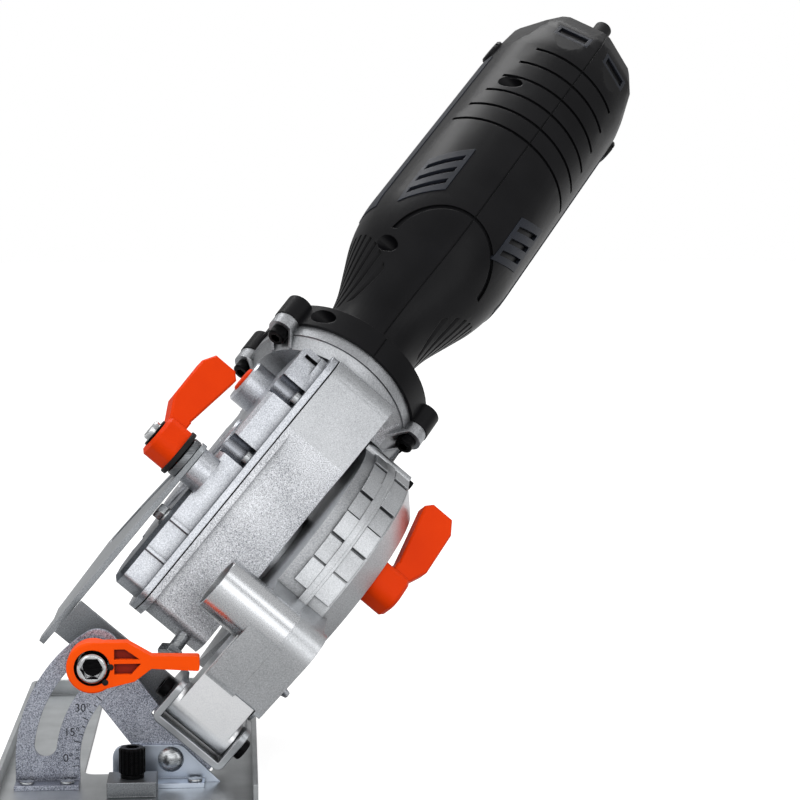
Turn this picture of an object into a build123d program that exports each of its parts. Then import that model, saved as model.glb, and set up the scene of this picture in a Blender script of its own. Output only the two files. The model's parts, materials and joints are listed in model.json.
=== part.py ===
from build123d import *
from math import atan2, cos, degrees, radians, sin, sqrt
import os

os.makedirs("parts", exist_ok=True)

# Mini circular saw, millimetres. X right, Y back, Z up, sole at Z = 0.
# The origin is the point of the sole below the bevel pivot.
# Pieces are drawn in three frames: the base, the tilt frame about the bevel
# pivot, and the head frame about the plunge pivot (Y along the motor, X along
# the blade's axis, the blade in the plane X = 0). The rest pose leans the tilt
# frame and pitches the head as the saw stands in the photograph.

# Rest pose and travel, degrees
bevel_rest = 40.8
pitch_rest = 51.0
bevel_travel = 45.0
plunge_travel = 43.0

# Clearances
running_clearance = 0.05
seat_clearance = 0.02
plate_gap = 0.2
slide_clearance = 0.4
free_gap = 0.6

# Base plate
base_left = 72.0
base_right = 36.0
base_front = 46.0
base_rear = 169.0
sheet = 2.0
rim_top = 9.0
rim_front = 34.0
base_corner = 6.0
window_left = 37.0
window_right = 17.0
window_front = 14.0
window_rear = 161.0
window_corner = 5.0

# Bevel joint
bevel_axis_height = 12.0
bevel_slot_radius = 52.0
bevel_bolt_angle = 12.2
bevel_bolt_radius = 4.0
bevel_slot_play = 0.6
bevel_slot_below = 5.0
bevel_slot_above = 1.0
quadrant_outer = 64.0
quadrant_inner = 37.5
quadrant_end = 9.5
quadrant_corner = 9.0
bracket_sheet = 2.0
foot_depth = 9.0
hinge_left = 24.0
hinge_right = 20.5
hinge_top = 6.0
hinge_corner = 5.0
hinge_foot_right = 14.0
pivot_shank = 4.0
pivot_dome = 5.4
dome_height = 3.0
foot_rivet_radius = 1.8
foot_rivet_head = 1.0
quadrant_rivet_inset = 5.0
hinge_rivet_inset = 4.0

# Guide strap and thumb screw
strap_x = -15.0
strap_length = 20.0
strap_y = -22.0
guide_bar_width = 14.0
guide_bar_height = 6.0
strap_sheet = 2.0
strap_foot = 6.0
thumb_radius = 5.4
thumb_height = 11.0
thumb_stem = 3.0
thumb_collar = 1.5
thumb_reach = 1.0
thumb_socket = 2.6
thumb_socket_depth = 3.0
thumb_ribs = 18
thumb_rib_radius = 0.5

# Tilt frame
arm_sheet = 2.5
arm_half_width = 9.5
bracket_strip = 3.0
bracket_half_inside = 15.5
bracket_web_low = 9.0
bracket_front = 12.0
bracket_back = 14.5
bracket_ear_top = 9.5
plunge_y = 6.0
plunge_z = 20.5
plunge_pin_radius = 4.0
pin_screw_radius = 4.6
pin_screw_height = 4.0
pin_socket = 2.2
pin_socket_depth = 2.5
depth_sheet = 2.5
depth_plate_x = -70.0
depth_plate_rim = 8.5
depth_plate_end = 7.0
depth_plate_corner = 5.0
flange_low = 13.5
flange_height = 17.0
flange_emboss_length = 22.0
flange_emboss_width = 4.0
flange_emboss_depth = 0.8
tail_drop = 7.0
tail_width = 10.0

# Bevel clamp
clamp_washer = 2.0
clamp_washer_radius = 10.0
bolt_head_radius = 7.0
bolt_head_height = 4.5
lever_hub_radius = 10.6
lever_hub_depth = 10.0
lever_nut_radius = 6.4
lever_nut_proud = 2.0
lever_well = 7.4
lever_well_floor = 3.0
lever_socket = 4.4
lever_socket_depth = 6.0
bevel_lever_reach = 43.7
bevel_lever_thick = 7.0
bevel_pocket_depth = 2.5

# Wing levers for depth and cover
wing_hub = 18.0
wing_hub_height = 14.0
wing_reach = 50.0
wing_thick = 8.0
wing_low = 5.0
wing_high = 18.5
wing_tip_cut = 7.0
wing_waist = 5.0
wing_flare = 4.0
wing_edge = 1.5

# Blade, spindle and guard, head frame
blade_diameter = 115.0
blade_thick = 1.6
blade_teeth = 24
blade_tooth_depth = 3.5
arbor_radius = 5.0
spindle_y = 97.0
spindle_z = -23.0
flange_radius = 16.0
inner_flange_thick = 5.2
outer_flange_thick = 4.2
flange_recess = 1.0
flange_rim = 4.0
blade_bolt_radius = 3.0
blade_bolt_head = 5.0
blade_bolt_reach = 8.0
blade_bolt_height = 5.0
spindle_shoulder = 7.5
guard_clearance = 4.0
guard_wall = 3.5
guard_left = -12.5
guard_seam = 2.5
guard_chamfer_start = 12.5
guard_right = 22.0
guard_side_wall = 2.5
guard_bottom = -25.0
guard_cover_bottom = -10.0
ridge_height = 1.5
ridge_left = -0.5
ridge_right = 3.8
pads_left = -7.3
pad_count = 8
pad_height = 1.8
pad_gap = 1.2
pad_first = 32.0
pad_step = 11.5
guard_hub_radius = 24.0
guard_screw_radius = 2.0
guard_screw_head = 3.4
guard_screw_head_height = 2.5
guard_screw_circle = 19.0
guard_screw_angles = (20.0, 90.0, 160.0)
guard_boss_radius = 4.0
guard_boss_proud = 3.5
guard_boss_screw = 1.5
guard_boss_head = 2.7
guard_boss_angles = (14.0, 34.0, 152.0)
cover_stud_radius = 3.0

# Dust tube and pivot boss, head frame
tube_y = 36.0
tube_z = 31.0
tube_radius = 12.6
tube_bore = 10.8
tube_open = -33.0
tube_end = 15.0
guard_foot_wall = 1.0
guard_foot_share = 0.43
guard_foot_right = 17.0
chip_channel = 7.5
chip_reach = 26.0
boss_radius = 8.0
boss_side_gap = 0.5
pivot_block_half = 13.0

# Gear case, head frame
nose_y = 33.0
nose_top = -11.0
nose_low = -21.0
case_rear = 158.0
case_top_y = 150.0
case_top = 40.0
case_rear_low = -32.0
case_low_y = 116.0
case_low = -43.4
case_front_low_y = 84.0
case_front_low = -41.4
chin_y = 45.0
chin_z = -31.0
case_corner = 5.0
case_wall = 2.6
case_right = -16.0
case_right_wall = 8.5
seam_x = -48.0
gasket = 0.6
lip_proud = 2.5
lip_thick = 3.0
lip_low = -30.0
cover_left = -64.0
cover_inset = 1.5
cover_edge = 2.0
cover_screw_head = 3.4
cover_screw_head_height = 2.6
cover_screw_radius = 2.0
cover_screw_reach = 12.0
cover_screw_boss = 4.8
cover_screw_inset = 3.6
cover_pocket_radius = 5.2
cover_top_screws = (0.59, 0.86)
cover_step_length = 12.0
cover_step_width = 9.0
cover_step_depth = 2.6
cover_rib_places = (48.0, 63.0)
cover_rib = 1.4
cover_rib_proud = 1.2
hood_front = 111.0
hood_proud = 3.2
hood_lean = 1.25
gusset = 1.6
gusset_spread = 5.4
gusset_foot = 26.0

# Gears
spur_module = 1.25
spindle_teeth = 24
layshaft_teeth = 22
spur_width = 6.0
spur_right = -25.0
bevel_module = 0.85
pinion_teeth = 9
crown_teeth = 36
crown_face = 7.0
crown_back = 8.0
crown_hub_radius = 8.0
tooth_addendum = 0.7
tooth_dedendum = 1.0
tooth_root_share = 0.25
tooth_tip_share = 0.10
bevel_tooth_gap = 0.3
layshaft_radius = 4.0

# Bearings: bore radius, outer radius, width
spindle_bearing = (5.0, 13.0, 8.0)
layshaft_bearing = (4.0, 9.5, 6.0)
motor_bearing = (4.0, 11.0, 7.0)
bearing_groove = 0.6

# Motor and its housing, head frame
motor_x = -37.5
motor_z = 0.0
flange_face = 172.0
flange_thick = 6.0
neck_overlap = 8.0
neck_start_radius = 30.0
motor_flange_radius = 40.5
lug_circle = 42.5
lug_angle = 26.5
lug_radius = 6.2
flange_screw_radius = 2.5
flange_screw_head = 4.2
flange_screw_height = 5.0
flange_screw_reach = 16.0
flange_screw_socket = 2.0
collar_length = 13.0
collar_radius = 42.0
neck_radius = 22.0
neck_at = 40.0
belly_radius = 40.0
belly_at = 92.0
shoulder_at = 236.0
tail_radius = 37.5
tail_at = 256.0
housing_length = 270.0
end_radius = 31.0
neck_blend = 90.0
housing_wall = 3.0
groove_first = 164.0
groove_step = 12.6
groove_count = 6
groove_width = 1.9
groove_depth = 1.1
parting_width = 0.8
parting_depth = 0.5
groove_span = 64.0
groove_span_step = 5.0
arch_at = 80.0
arch_half = 26.0
arch_rise = 24.0
arch_width = 2.4
flute_at = 58.0
flute_reach = 22.0
flute_half = 22.0
flute_count = 9
flute_step = 4.6
flute_width = 2.0
flute_depth = 0.9
flute_slant = 26.0
facet_first = 232.0
facet_middle = 258.0
facet_sides = 8
facet_middle_share = 0.945
facet_end_share = 0.95
end_vent_first = 245.0
end_vent_last = 254.0
end_vent_half = 9.5
end_vent_frame = 1.8
end_vent_depth = 1.2
panel_half = 9.0
panel_first = 96.0
panel_last = 225.0
panel_depth = 1.2
panel_proud = 0.4
vent_first = 96.0
vent_length = 33.0
vent_width = 19.0
vent_lean = 14.0
vent_angle = 48.0
vent_slots = 3
vent_slot_width = 4.0
vent_depth = 1.4
brush_at = 236.0
brush_cap_radius = 7.0
brush_cap_proud = 2.5
brush_width = 6.0
brush_length = 16.0
gland_radius = 4.8
gland_bore = 3.2
gland_out = 36.0
gland_in = 6.0
gland_ring = 6.2
gland_ring_length = 5.0
shaft_radius = 4.0
armature_radius = 18.5
armature_first = 118.0
armature_last = 178.0
armature_slots = 12
armature_slot_width = 3.0
armature_slot_depth = 5.0
air_gap = 0.8
stator_radius = 32.0
coil_length = 8.0
coil_inner = 21.0
coil_outer = 29.0
fan_radius = 29.0
fan_at = 96.0
fan_width = 9.0
fan_blades = 11
fan_disc = 2.0
fan_hub = 8.0
fan_blade_thick = 1.6
commutator_radius = 11.0
commutator_half = 8.0
rear_bearing_at = 246.0
web_thick = 4.0
lock_collar_radius = 9.0
lock_collar_width = 10.0
lock_collar_holes = 4

# Housing screws: distance behind the flange face and height above the axis
housing_screw_places = ((6.5, 31.0), (72.0, 22.0), (198.0, 30.0))
housing_screw_radius = 1.8
housing_screw_head = 3.4
housing_screw_recess = 4.2
housing_screw_boss = 5.0
housing_screw_half = 12.0

# Trigger and switch
trigger_first = 36.0
trigger_length = 32.0
trigger_width = 12.0
trigger_low = -32.0
trigger_top = -18.0
trigger_travel = 3.0
switch_half = 6.0
switch_top = -6.0
switch_gap = 0.4
plunger_radius = 1.5

# Spindle lock
lock_button_radius = 6.0
lock_boss_radius = 9.5
lock_boss_out = 6.0
lock_button_out = 5.0
lock_travel = 4.0
lock_pin_radius = 2.5
lock_behind_layshaft = 31.5
lock_stop_short = 0.5

# Depth stop hardware
stud_y = 84.0
stud_z = 14.0
stud_radius = 4.0
stud_boss_radius = 9.0
stud_thread_end = 21.0
depth_slot_play = 0.6
depth_slot_overrun = 1.5
spacer_radius = 9.5
spacer_thick = 3.5
lever_screw_radius = 2.5
lever_screw_head = 4.5
lever_screw_height = 2.6
lever_washer_radius = 6.5
lever_washer = 1.0
stop_bolt_x = -25.0
stop_bolt_radius = 3.0
stop_bolt_head = 5.0
stop_bolt_length = 9.0
stop_bolt_head_height = 4.0
cover_lever_y = 93.0
cover_lever_z = 22.0

# Worked out from the sizes above
blade_radius = blade_diameter / 2
guard_inner = blade_radius + guard_clearance
guard_outer = guard_inner + guard_wall
chamfer_depth = guard_right - guard_chamfer_start
spur_distance = spur_module * (spindle_teeth + layshaft_teeth) / 2
layshaft_z = motor_z
crown_radius = bevel_module * crown_teeth / 2
layshaft_y = spindle_y + sqrt(spur_distance**2 - (layshaft_z - spindle_z)**2)
stud_radius_of_swing = sqrt(stud_y**2 + stud_z**2)
stud_angle = degrees(atan2(stud_z, stud_y))
pitch_low = pitch_rest - plunge_travel
housing_end = flange_face + housing_length
lock_y = layshaft_y + lock_behind_layshaft
cover_inside = cover_left + case_wall
bracket_half = bracket_half_inside + bracket_strip
bracket_web_top = bracket_web_low + bracket_strip
lever_back = -bracket_sheet - plate_gap - clamp_washer - plate_gap
bolt_x = -bevel_slot_radius * cos(radians(bevel_bolt_angle))
bolt_z = bevel_slot_radius * sin(radians(bevel_bolt_angle))


# Small builders: round bars along an axis, boxes by their limits, slabs of a face
def along_x(radius, x0, x1, y=0.0, z=0.0):
    return Pos((x0 + x1) / 2, y, z) * Rot(0, 90, 0) * Cylinder(radius, abs(x1 - x0))


def along_y(radius, y0, y1, x=0.0, z=0.0):
    return Pos(x, (y0 + y1) / 2, z) * Rot(90, 0, 0) * Cylinder(radius, abs(y1 - y0))


def along_z(radius, z0, z1, x=0.0, y=0.0):
    return Pos(x, y, (z0 + z1) / 2) * Cylinder(radius, abs(z1 - z0))


def ring_x(outer, inner, x0, x1, y=0.0, z=0.0):
    return along_x(outer, x0, x1, y, z) - along_x(inner, x0, x1, y, z)


def block(x0, x1, y0, y1, z0, z1):
    middle = Pos((x0 + x1) / 2, (y0 + y1) / 2, (z0 + z1) / 2)
    return middle * Box(abs(x1 - x0), abs(y1 - y0), abs(z1 - z0))


def slab_x(face, x0, x1):
    """A face drawn in (Y, Z), thick from x0 to x1."""
    return extrude(Plane.YZ.offset(x0) * face, x1 - x0, dir=(1, 0, 0))


def slab_y(face, y0, y1):
    """A face drawn in (X, Z), thick from y0 to y1."""
    return extrude(Plane.XZ.offset(-y0) * face, y1 - y0, dir=(0, 1, 0))


def slab_z(face, z0, z1):
    """A face drawn in (X, Y), thick from z0 to z1."""
    return extrude(Plane.XY.offset(z0) * face, z1 - z0, dir=(0, 0, 1))


def polygon(*points):
    """A polygon face, its corners put in counter-clockwise order."""
    twice_area = 0.0
    for (x0, y0), (x1, y1) in zip(points, points[1:] + points[:1]):
        twice_area += x0 * y1 - x1 * y0
    ordered = points if twice_area > 0 else points[::-1]
    return Polygon(*ordered, align=None)


def disc(radius, at=(0.0, 0.0)):
    return Pos(*at) * Circle(radius)


def hull_of(*faces):
    edges = []
    for face in faces:
        edges += face.edges()
    return make_hull(edges)


def turned(points, x, z):
    """Turn an outline of (distance along Y, radius) points about an axis along Y."""
    face = Plane.XY * Polygon(*[(radius, along) for along, radius in points], align=None)
    return Pos(x, 0, z) * revolve(face, Axis.Y)


def hex_x(across_half, x0, x1, y, z):
    face = Pos(y, z) * RegularPolygon(across_half, 6, major_radius=False)
    return slab_x(face, x0, x1)


def hex_y(across_half, y0, y1, x, z):
    face = Pos(x, z) * RegularPolygon(across_half, 6, major_radius=False)
    return slab_y(face, y0, y1)


def toothed_face(teeth, module):
    """Outline of a spur gear with straight-flanked teeth, one tooth at angle 0."""
    pitch_radius = module * teeth / 2
    root = pitch_radius - tooth_dedendum * module
    tip = pitch_radius + tooth_addendum * module
    corners = ((root, -tooth_root_share), (tip, -tooth_tip_share),
               (tip, tooth_tip_share), (root, tooth_root_share))
    points = []
    for tooth in range(teeth):
        for radius, share in corners:
            angle = radians(360 / teeth * (tooth + share))
            points.append((radius * cos(angle), radius * sin(angle)))
    return polygon(*points)


def bearing_x(size, x0, y, z):
    bore, outer, width = size
    middle = (bore + outer) / 2
    body = ring_x(outer, bore + seat_clearance, x0, x0 + width, y, z)
    for start in (x0, x0 + width - bearing_groove):
        body -= ring_x(middle + 1.2, middle - 1.2, start, start + bearing_groove, y, z)
    return body


def bearing_y(size, y0, x, z):
    upright = bearing_x(size, 0, 0, 0)
    return Pos(x, y0, z) * Rot(0, 0, 90) * upright


# Base body
def base_outline(inset=0.0):
    width = base_left + base_right - 2 * inset
    length = base_front + base_rear - 2 * inset
    middle = Pos((base_right - base_left) / 2, (base_rear - base_front) / 2)
    return middle * RectangleRounded(width, length, base_corner - min(inset, base_corner / 2))


def base_plate():
    plate = slab_z(base_outline(), 0, sheet)
    wall = slab_z(base_outline(), 0, rim_top) - slab_z(base_outline(sheet), 0, rim_top)
    wall -= block(-base_left - 1, base_right + 1, -base_front - 1, -rim_front, sheet, rim_top + 1)
    window = Pos((window_right - window_left) / 2, (window_front + window_rear) / 2)
    window *= RectangleRounded(window_left + window_right, window_rear - window_front, window_corner)
    plate = plate + wall - slab_z(window, 0, sheet)
    for x, y in foot_rivet_places():
        plate -= along_z(foot_rivet_radius + seat_clearance, 0, sheet, x, y)
    return plate


def foot_rivet_places():
    y = -bracket_sheet - foot_depth / 2
    quadrant = (-quadrant_outer + quadrant_rivet_inset, -quadrant_inner - quadrant_rivet_inset)
    hinge = (-hinge_left + hinge_rivet_inset, hinge_foot_right - hinge_rivet_inset)
    return [(x, y) for x in quadrant + hinge]


def foot_rivets():
    rivets = []
    top = sheet + bracket_sheet
    for x, y in foot_rivet_places():
        shank = along_z(foot_rivet_radius, 0, top + foot_rivet_head, x, y)
        head = along_z(foot_rivet_radius * 1.7, top, top + foot_rivet_head, x, y)
        head = fillet(head.edges().sort_by(Axis.Z)[-1:], foot_rivet_head * 0.6)
        rivets.append(shank + head)
    return rivets


def bracket_foot(x0, x1):
    foot = block(x0, x1, -bracket_sheet - foot_depth, 0, sheet, sheet + bracket_sheet)
    for x, y in foot_rivet_places():
        if x0 < x < x1:
            foot -= along_z(foot_rivet_radius + seat_clearance, 0, sheet * 4, x, y)
    return foot


def polar_left(radius, angle):
    """A point about the bevel pivot, its angle measured up from the -X side."""
    return (-radius * cos(radians(angle)), radius * sin(radians(angle)))


def arc_slot(radius, first, last, half_width):
    """A slot along an arc about the drawing's origin, angles up from the -X side."""
    return SlotArc(CenterArc((0, 0), radius, 180 - last, last - first), 2 * half_width)


def bevel_quadrant():
    top = bevel_bolt_angle + bevel_travel + quadrant_end
    reach = quadrant_outer * 2
    sector = polygon((0, 0), (-reach, 0), polar_left(reach * 1.5, top))
    face = (disc(quadrant_outer) - disc(quadrant_inner)) & sector
    face += polygon((-quadrant_outer, 0), (-quadrant_inner, 0),
                    (-quadrant_inner, sheet - bevel_axis_height),
                    (-quadrant_outer, sheet - bevel_axis_height))
    corners = face.vertices().sort_by(Axis.Y)[-2:]
    face = fillet(corners, quadrant_corner)
    face -= arc_slot(bevel_slot_radius, bevel_bolt_angle - bevel_slot_below,
                     bevel_bolt_angle + bevel_travel + bevel_slot_above,
                     bevel_bolt_radius + bevel_slot_play)
    plate = Pos(0, 0, bevel_axis_height) * slab_y(face, -bracket_sheet, 0)
    return plate + bracket_foot(-quadrant_outer, -quadrant_inner)


def hinge_bracket():
    low = sheet - bevel_axis_height
    slope_top = hinge_right + low - hinge_top
    face = polygon((-hinge_left, low), (-hinge_left, hinge_top), (slope_top, hinge_top), (hinge_right, low))
    face = fillet(face.vertices().group_by(Axis.Y)[-1], hinge_corner)
    face -= disc(pivot_shank + seat_clearance)
    plate = Pos(0, 0, bevel_axis_height) * slab_y(face, -bracket_sheet, 0)
    return plate + bracket_foot(-hinge_left, hinge_foot_right)


def bevel_pivot_rivet():
    back = plate_gap + arm_sheet + plate_gap
    shank = along_y(pivot_shank, -bracket_sheet, back)
    sphere_radius = (pivot_dome**2 + dome_height**2) / (2 * dome_height)
    dome = Pos(0, -bracket_sheet - dome_height + sphere_radius, 0) * Sphere(sphere_radius)
    dome &= along_y(pivot_dome, -bracket_sheet - dome_height, -bracket_sheet)
    tail = along_y(pivot_dome, back, back + dome_height / 2)
    return Pos(0, 0, bevel_axis_height) * (shank + dome + tail)


def guide_strap():
    half = guide_bar_width / 2
    x0 = strap_x - strap_length / 2
    x1 = strap_x + strap_length / 2
    top = sheet + guide_bar_height
    wide = half + strap_sheet
    strap = block(x0, x1, strap_y - wide, strap_y + wide, sheet, top + strap_sheet)
    strap -= block(x0, x1, strap_y - half, strap_y + half, sheet, top)
    strap += block(x0, x1, strap_y - half - strap_foot, strap_y - half, sheet, sheet + strap_sheet)
    return strap - along_z(thumb_stem + running_clearance, top, top + strap_sheet, strap_x, strap_y)


def guide_clamp_screw():
    top = sheet + guide_bar_height + strap_sheet
    stem = along_z(thumb_stem, top - strap_sheet - thumb_reach, top + thumb_collar, 0, 0)
    low = top + thumb_collar
    head = along_z(thumb_radius, low, low + thumb_height)
    head = chamfer(head.edges(), 0.8)
    for rib in range(thumb_ribs):
        angle = radians(360 / thumb_ribs * rib)
        head -= along_z(thumb_rib_radius, low, low + thumb_height,
                        thumb_radius * cos(angle), thumb_radius * sin(angle))
    socket = Pos(0, 0, low + thumb_height - thumb_socket_depth)
    socket *= slab_z(RegularPolygon(thumb_socket, 6, major_radius=False), 0, thumb_socket_depth)
    collar = along_z(thumb_stem * 1.6, top + plate_gap, low)
    return Pos(strap_x, strap_y, 0) * (stem + collar + head - socket)


# Tilt body, drawn about the bevel pivot
def tilt_arm():
    slot = SlotCenterToCenter(bevel_slot_radius, 2 * arm_half_width)
    face = Pos(bolt_x / 2, bolt_z / 2) * Rot(0, 0, -bevel_bolt_angle) * slot
    reach = arm_half_width * sqrt(2) - plate_gap
    side = bracket_half_inside
    low = bracket_web_low
    face += polygon((-side, low), (side, low), (side, side - reach), (reach / 2, -reach / 2), (-side, 0))
    wide = bracket_half
    face -= polygon((-wide, low), (wide, low), (wide, low * 3), (-wide, low * 3))
    face -= disc(pivot_shank + running_clearance)
    face -= disc(bevel_bolt_radius + seat_clearance, (bolt_x, bolt_z))
    return slab_y(face, plate_gap, plate_gap + arm_sheet)


def pivot_bracket():
    front = plunge_y - bracket_front
    back = plunge_y + bracket_back
    ear_top = plunge_z + bracket_ear_top
    strip = block(-bracket_half, bracket_half, front, back, bracket_web_low, ear_top)
    strip = fillet(strip.edges().filter_by(Axis.Y).group_by(Axis.Z)[0], bracket_strip)
    strip -= block(-bracket_half_inside, bracket_half_inside, front, back, bracket_web_top, ear_top)
    ears = strip.edges().filter_by(Axis.X).group_by(Axis.Z)[-1]
    strip = fillet(ears, bracket_strip * 2)
    hole = plunge_pin_radius + seat_clearance
    return strip - along_x(hole, -bracket_half, bracket_half, plunge_y, plunge_z)


def depth_plate():
    """Upright plate with the depth slot, and the flange that ties it to the bracket."""
    rim = stud_radius_of_swing + depth_plate_rim
    first = stud_angle + pitch_low - depth_plate_end
    last = stud_angle + pitch_rest + depth_plate_end
    flange_back = plunge_y + bracket_back
    front = flange_back - depth_sheet - plunge_y
    low = bracket_web_top + 1 - flange_low / 2 - plunge_z
    tip = (rim * cos(radians(last)), rim * sin(radians(last)))
    heel = (rim * cos(radians(first)), rim * sin(radians(first)))
    face = polygon((front, low), (heel[0] * 0.6, low), heel, (heel[0], tip[1]), tip) & disc(rim)
    face += polygon((front, low), (front, low - tail_drop), (front + tail_width, low - tail_drop),
                    (front + tail_width * 2, low))
    corner = face.vertices().sort_by(Axis.Y)[-1]
    face = fillet(corner, depth_plate_corner)
    slot = SlotArc(CenterArc((0, 0), stud_radius_of_swing, stud_angle + pitch_low - depth_slot_overrun,
                             plunge_travel + 2 * depth_slot_overrun), 2 * (stud_radius + depth_slot_play))
    face -= slot
    plate = Pos(0, plunge_y, plunge_z) * slab_x(face, depth_plate_x - depth_sheet, depth_plate_x)
    flange_z = plunge_z + low
    flange = block(depth_plate_x, -bracket_half, flange_back - depth_sheet, flange_back,
                   flange_z, flange_z + flange_height)
    middle = (depth_plate_x - bracket_half) / 2
    emboss = Pos(middle, flange_z + flange_height / 2)
    emboss *= SlotOverall(flange_emboss_length, flange_emboss_width)
    flange -= slab_y(emboss, flange_back - depth_sheet, flange_back - depth_sheet + flange_emboss_depth)
    return plate + flange


def bevel_bolt():
    back = plate_gap + arm_sheet
    front = lever_back - lever_hub_depth + lever_socket_depth - lever_nut_proud + plate_gap
    shank = along_y(bevel_bolt_radius, front, back, bolt_x, bolt_z)
    return shank + hex_y(bolt_head_radius, back, back + bolt_head_height, bolt_x, bolt_z)


def bevel_washer():
    front = -bracket_sheet - plate_gap - clamp_washer
    ring = along_y(clamp_washer_radius, front, front + clamp_washer, bolt_x, bolt_z)
    return ring - along_y(bevel_bolt_radius + seat_clearance, front, front + clamp_washer, bolt_x, bolt_z)


def plunge_pin():
    return along_x(plunge_pin_radius, -bracket_half, bracket_half, plunge_y, plunge_z)


def plunge_pin_screws():
    screws = []
    for side in (-1, 1):
        face = side * bracket_half
        head = along_x(pin_screw_radius, face, face + side * pin_screw_height, plunge_y, plunge_z)
        head = chamfer(head.edges(), 0.5)
        deep = face + side * (pin_screw_height - pin_socket_depth)
        x0, x1 = sorted((deep, face + side * pin_screw_height))
        screws.append(head - hex_x(pin_socket, x0, x1, plunge_y, plunge_z))
    return screws


# Bevel lever, drawn level about the bevel bolt
def bevel_lever():
    front = lever_back - lever_hub_depth
    hub = along_y(lever_hub_radius, front, lever_back)
    hub = fillet(hub.edges().group_by(Axis.Y)[0], 1.0)
    tip = bevel_lever_reach
    arm = polygon((0, lever_hub_radius - 0.2), (14.2, lever_hub_radius - 0.2), (24.2, 4.6), (tip, 4.2),
                  (tip, -1.9), (24.2, -0.6), (17.3, -5.8), (0, -lever_hub_radius + 0.6))
    arm = slab_y(arm, front, front + bevel_lever_thick)
    arm = fillet(arm.edges().filter_by(Axis.Y).group_by(Axis.X)[-1], 1.0)
    upper = polygon((9.0, 7.6), (13.4, 7.6), (19.4, 3.4), (9.0, 3.4))
    lower = polygon((9.0, 1.6), (20.0, 1.6), (16.0, -2.8), (9.0, -2.8))
    lever = hub + arm
    for pocket in (upper, lower):
        lever -= slab_y(pocket, front, front + bevel_pocket_depth)
    lever -= along_y(lever_well, front, lever_back - lever_well_floor)
    return lever - along_y(lever_nut_radius + seat_clearance, front, lever_back)


def bevel_lever_nut():
    front = lever_back - lever_hub_depth - lever_nut_proud
    nut = along_y(lever_nut_radius, front, lever_back)
    nut = chamfer(nut.edges().group_by(Axis.Y)[0], 0.8)
    nut -= hex_y(lever_socket, front, front + lever_socket_depth, 0, 0)
    return nut - along_y(bevel_bolt_radius + running_clearance, front, lever_back)


# Wing lever: hub on its stud at the origin, arm along +Y, standing out along +X
def wing_lever(stud, depth, screw=0.0):
    half = wing_hub / 2
    hub = slab_x(RectangleRounded(wing_hub, wing_hub, half * 0.7), 0, wing_hub_height)
    hub = chamfer(hub.edges().group_by(Axis.X)[-1], wing_edge)
    tip = wing_reach
    side = polygon((wing_low, -half * 0.6), (wing_low, half + wing_waist),
                   (wing_high - wing_hub_height + 1, half + wing_waist),
                   (wing_low - wing_flare, tip - wing_tip_cut / 2), (wing_low - 1, tip),
                   (wing_high - wing_tip_cut / 2, tip),
                   (wing_high, tip - wing_tip_cut), (wing_high, half + wing_waist * 2),
                   (wing_hub_height, half), (wing_hub_height, -half * 0.6))
    arm = slab_z(side, -wing_thick / 2, wing_thick / 2)
    arm = chamfer(arm.faces().sort_by(Axis.Z)[-1].edges() + arm.faces().sort_by(Axis.Z)[0].edges(), 0.8)
    lever = hub + arm - along_x(stud, -1, depth)
    return lever - along_x(screw, 0, wing_hub_height) if screw else lever


def depth_lever():
    screw = lever_screw_radius + seat_clearance
    return wing_lever(stud_radius + running_clearance, stud_thread_end - 8, screw)


# Head body: gear case
def case_outline(grow=0.0):
    face = polygon((nose_y, nose_top), (case_top_y, case_top), (case_rear, case_top),
                   (case_rear, case_rear_low), (case_low_y, case_low), (case_front_low_y, case_front_low),
                   (chin_y, chin_z), (nose_y, nose_low))
    face = fillet(face.vertices(), case_corner)
    return offset(face, grow, kind=Kind.INTERSECTION) if grow else face


def case_lip(x0, x1):
    grown = slab_x(case_outline(lip_proud), x0, x1)
    return grown - block(x0 - 1, x1 + 1, 0, case_rear * 2, case_low * 3, lip_low)


def cover_screw_places():
    """Screws just inside the outline: two along the sloping top, two along the belly."""
    sides = (((nose_y, nose_top), (case_top_y, case_top), -1, cover_top_screws),
             ((chin_y, chin_z), (case_front_low_y, case_front_low), 1, (0.45,)),
             ((case_low_y, case_low), (case_rear, case_rear_low), 1, (0.75,)))
    places = []
    for (y0, z0), (y1, z1), inward, shares in sides:
        length = sqrt((y1 - y0)**2 + (z1 - z0)**2)
        normal = (-(z1 - z0) / length * inward, (y1 - y0) / length * inward)
        for share in shares:
            places.append((y0 + share * (y1 - y0) + cover_screw_inset * normal[0],
                           z0 + share * (z1 - z0) + cover_screw_inset * normal[1]))
    return places


def motor_flange():
    """The neck behind the gears, its round flange and lugs, cut back for the cover and the guard."""
    start = case_rear - neck_overlap
    front = flange_face - flange_thick
    shape = turned([(start, 0), (start, neck_start_radius), (front, motor_flange_radius - 1),
                    (front, motor_flange_radius), (flange_face, motor_flange_radius), (flange_face, 0)],
                   motor_x, motor_z)
    for rib in gussets():
        shape += rib
    far = motor_flange_radius * 3
    shape -= block(motor_x - far, seam_x, 0, case_rear + lip_proud, motor_z - far, motor_z + far)
    swing = guard_outer + max(ridge_height, pad_height, guard_boss_proud) + free_gap
    shape -= along_x(swing, guard_left - free_gap, motor_x + far, spindle_y, spindle_z)
    for x, z in lug_places():
        shape += along_y(lug_radius, flange_face - flange_thick, flange_face, x, z)
    return shape


def gussets():
    """Thin ribs on both sides of each lug, running down to the neck."""
    start = case_rear - neck_overlap
    front = flange_face - flange_thick
    ribs = []
    for x, z in lug_places():
        outward = degrees(atan2(z - motor_z, x - motor_x))
        for side in (-1, 1):
            face = polygon((gusset_foot, start), (gusset_foot, front), (lug_circle, front))
            rib = slab_z(face, side * gusset_spread - gusset / 2, side * gusset_spread + gusset / 2)
            ribs.append(Pos(motor_x, 0, motor_z) * Rot(0, -outward, 0) * rib)
    return ribs


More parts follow.
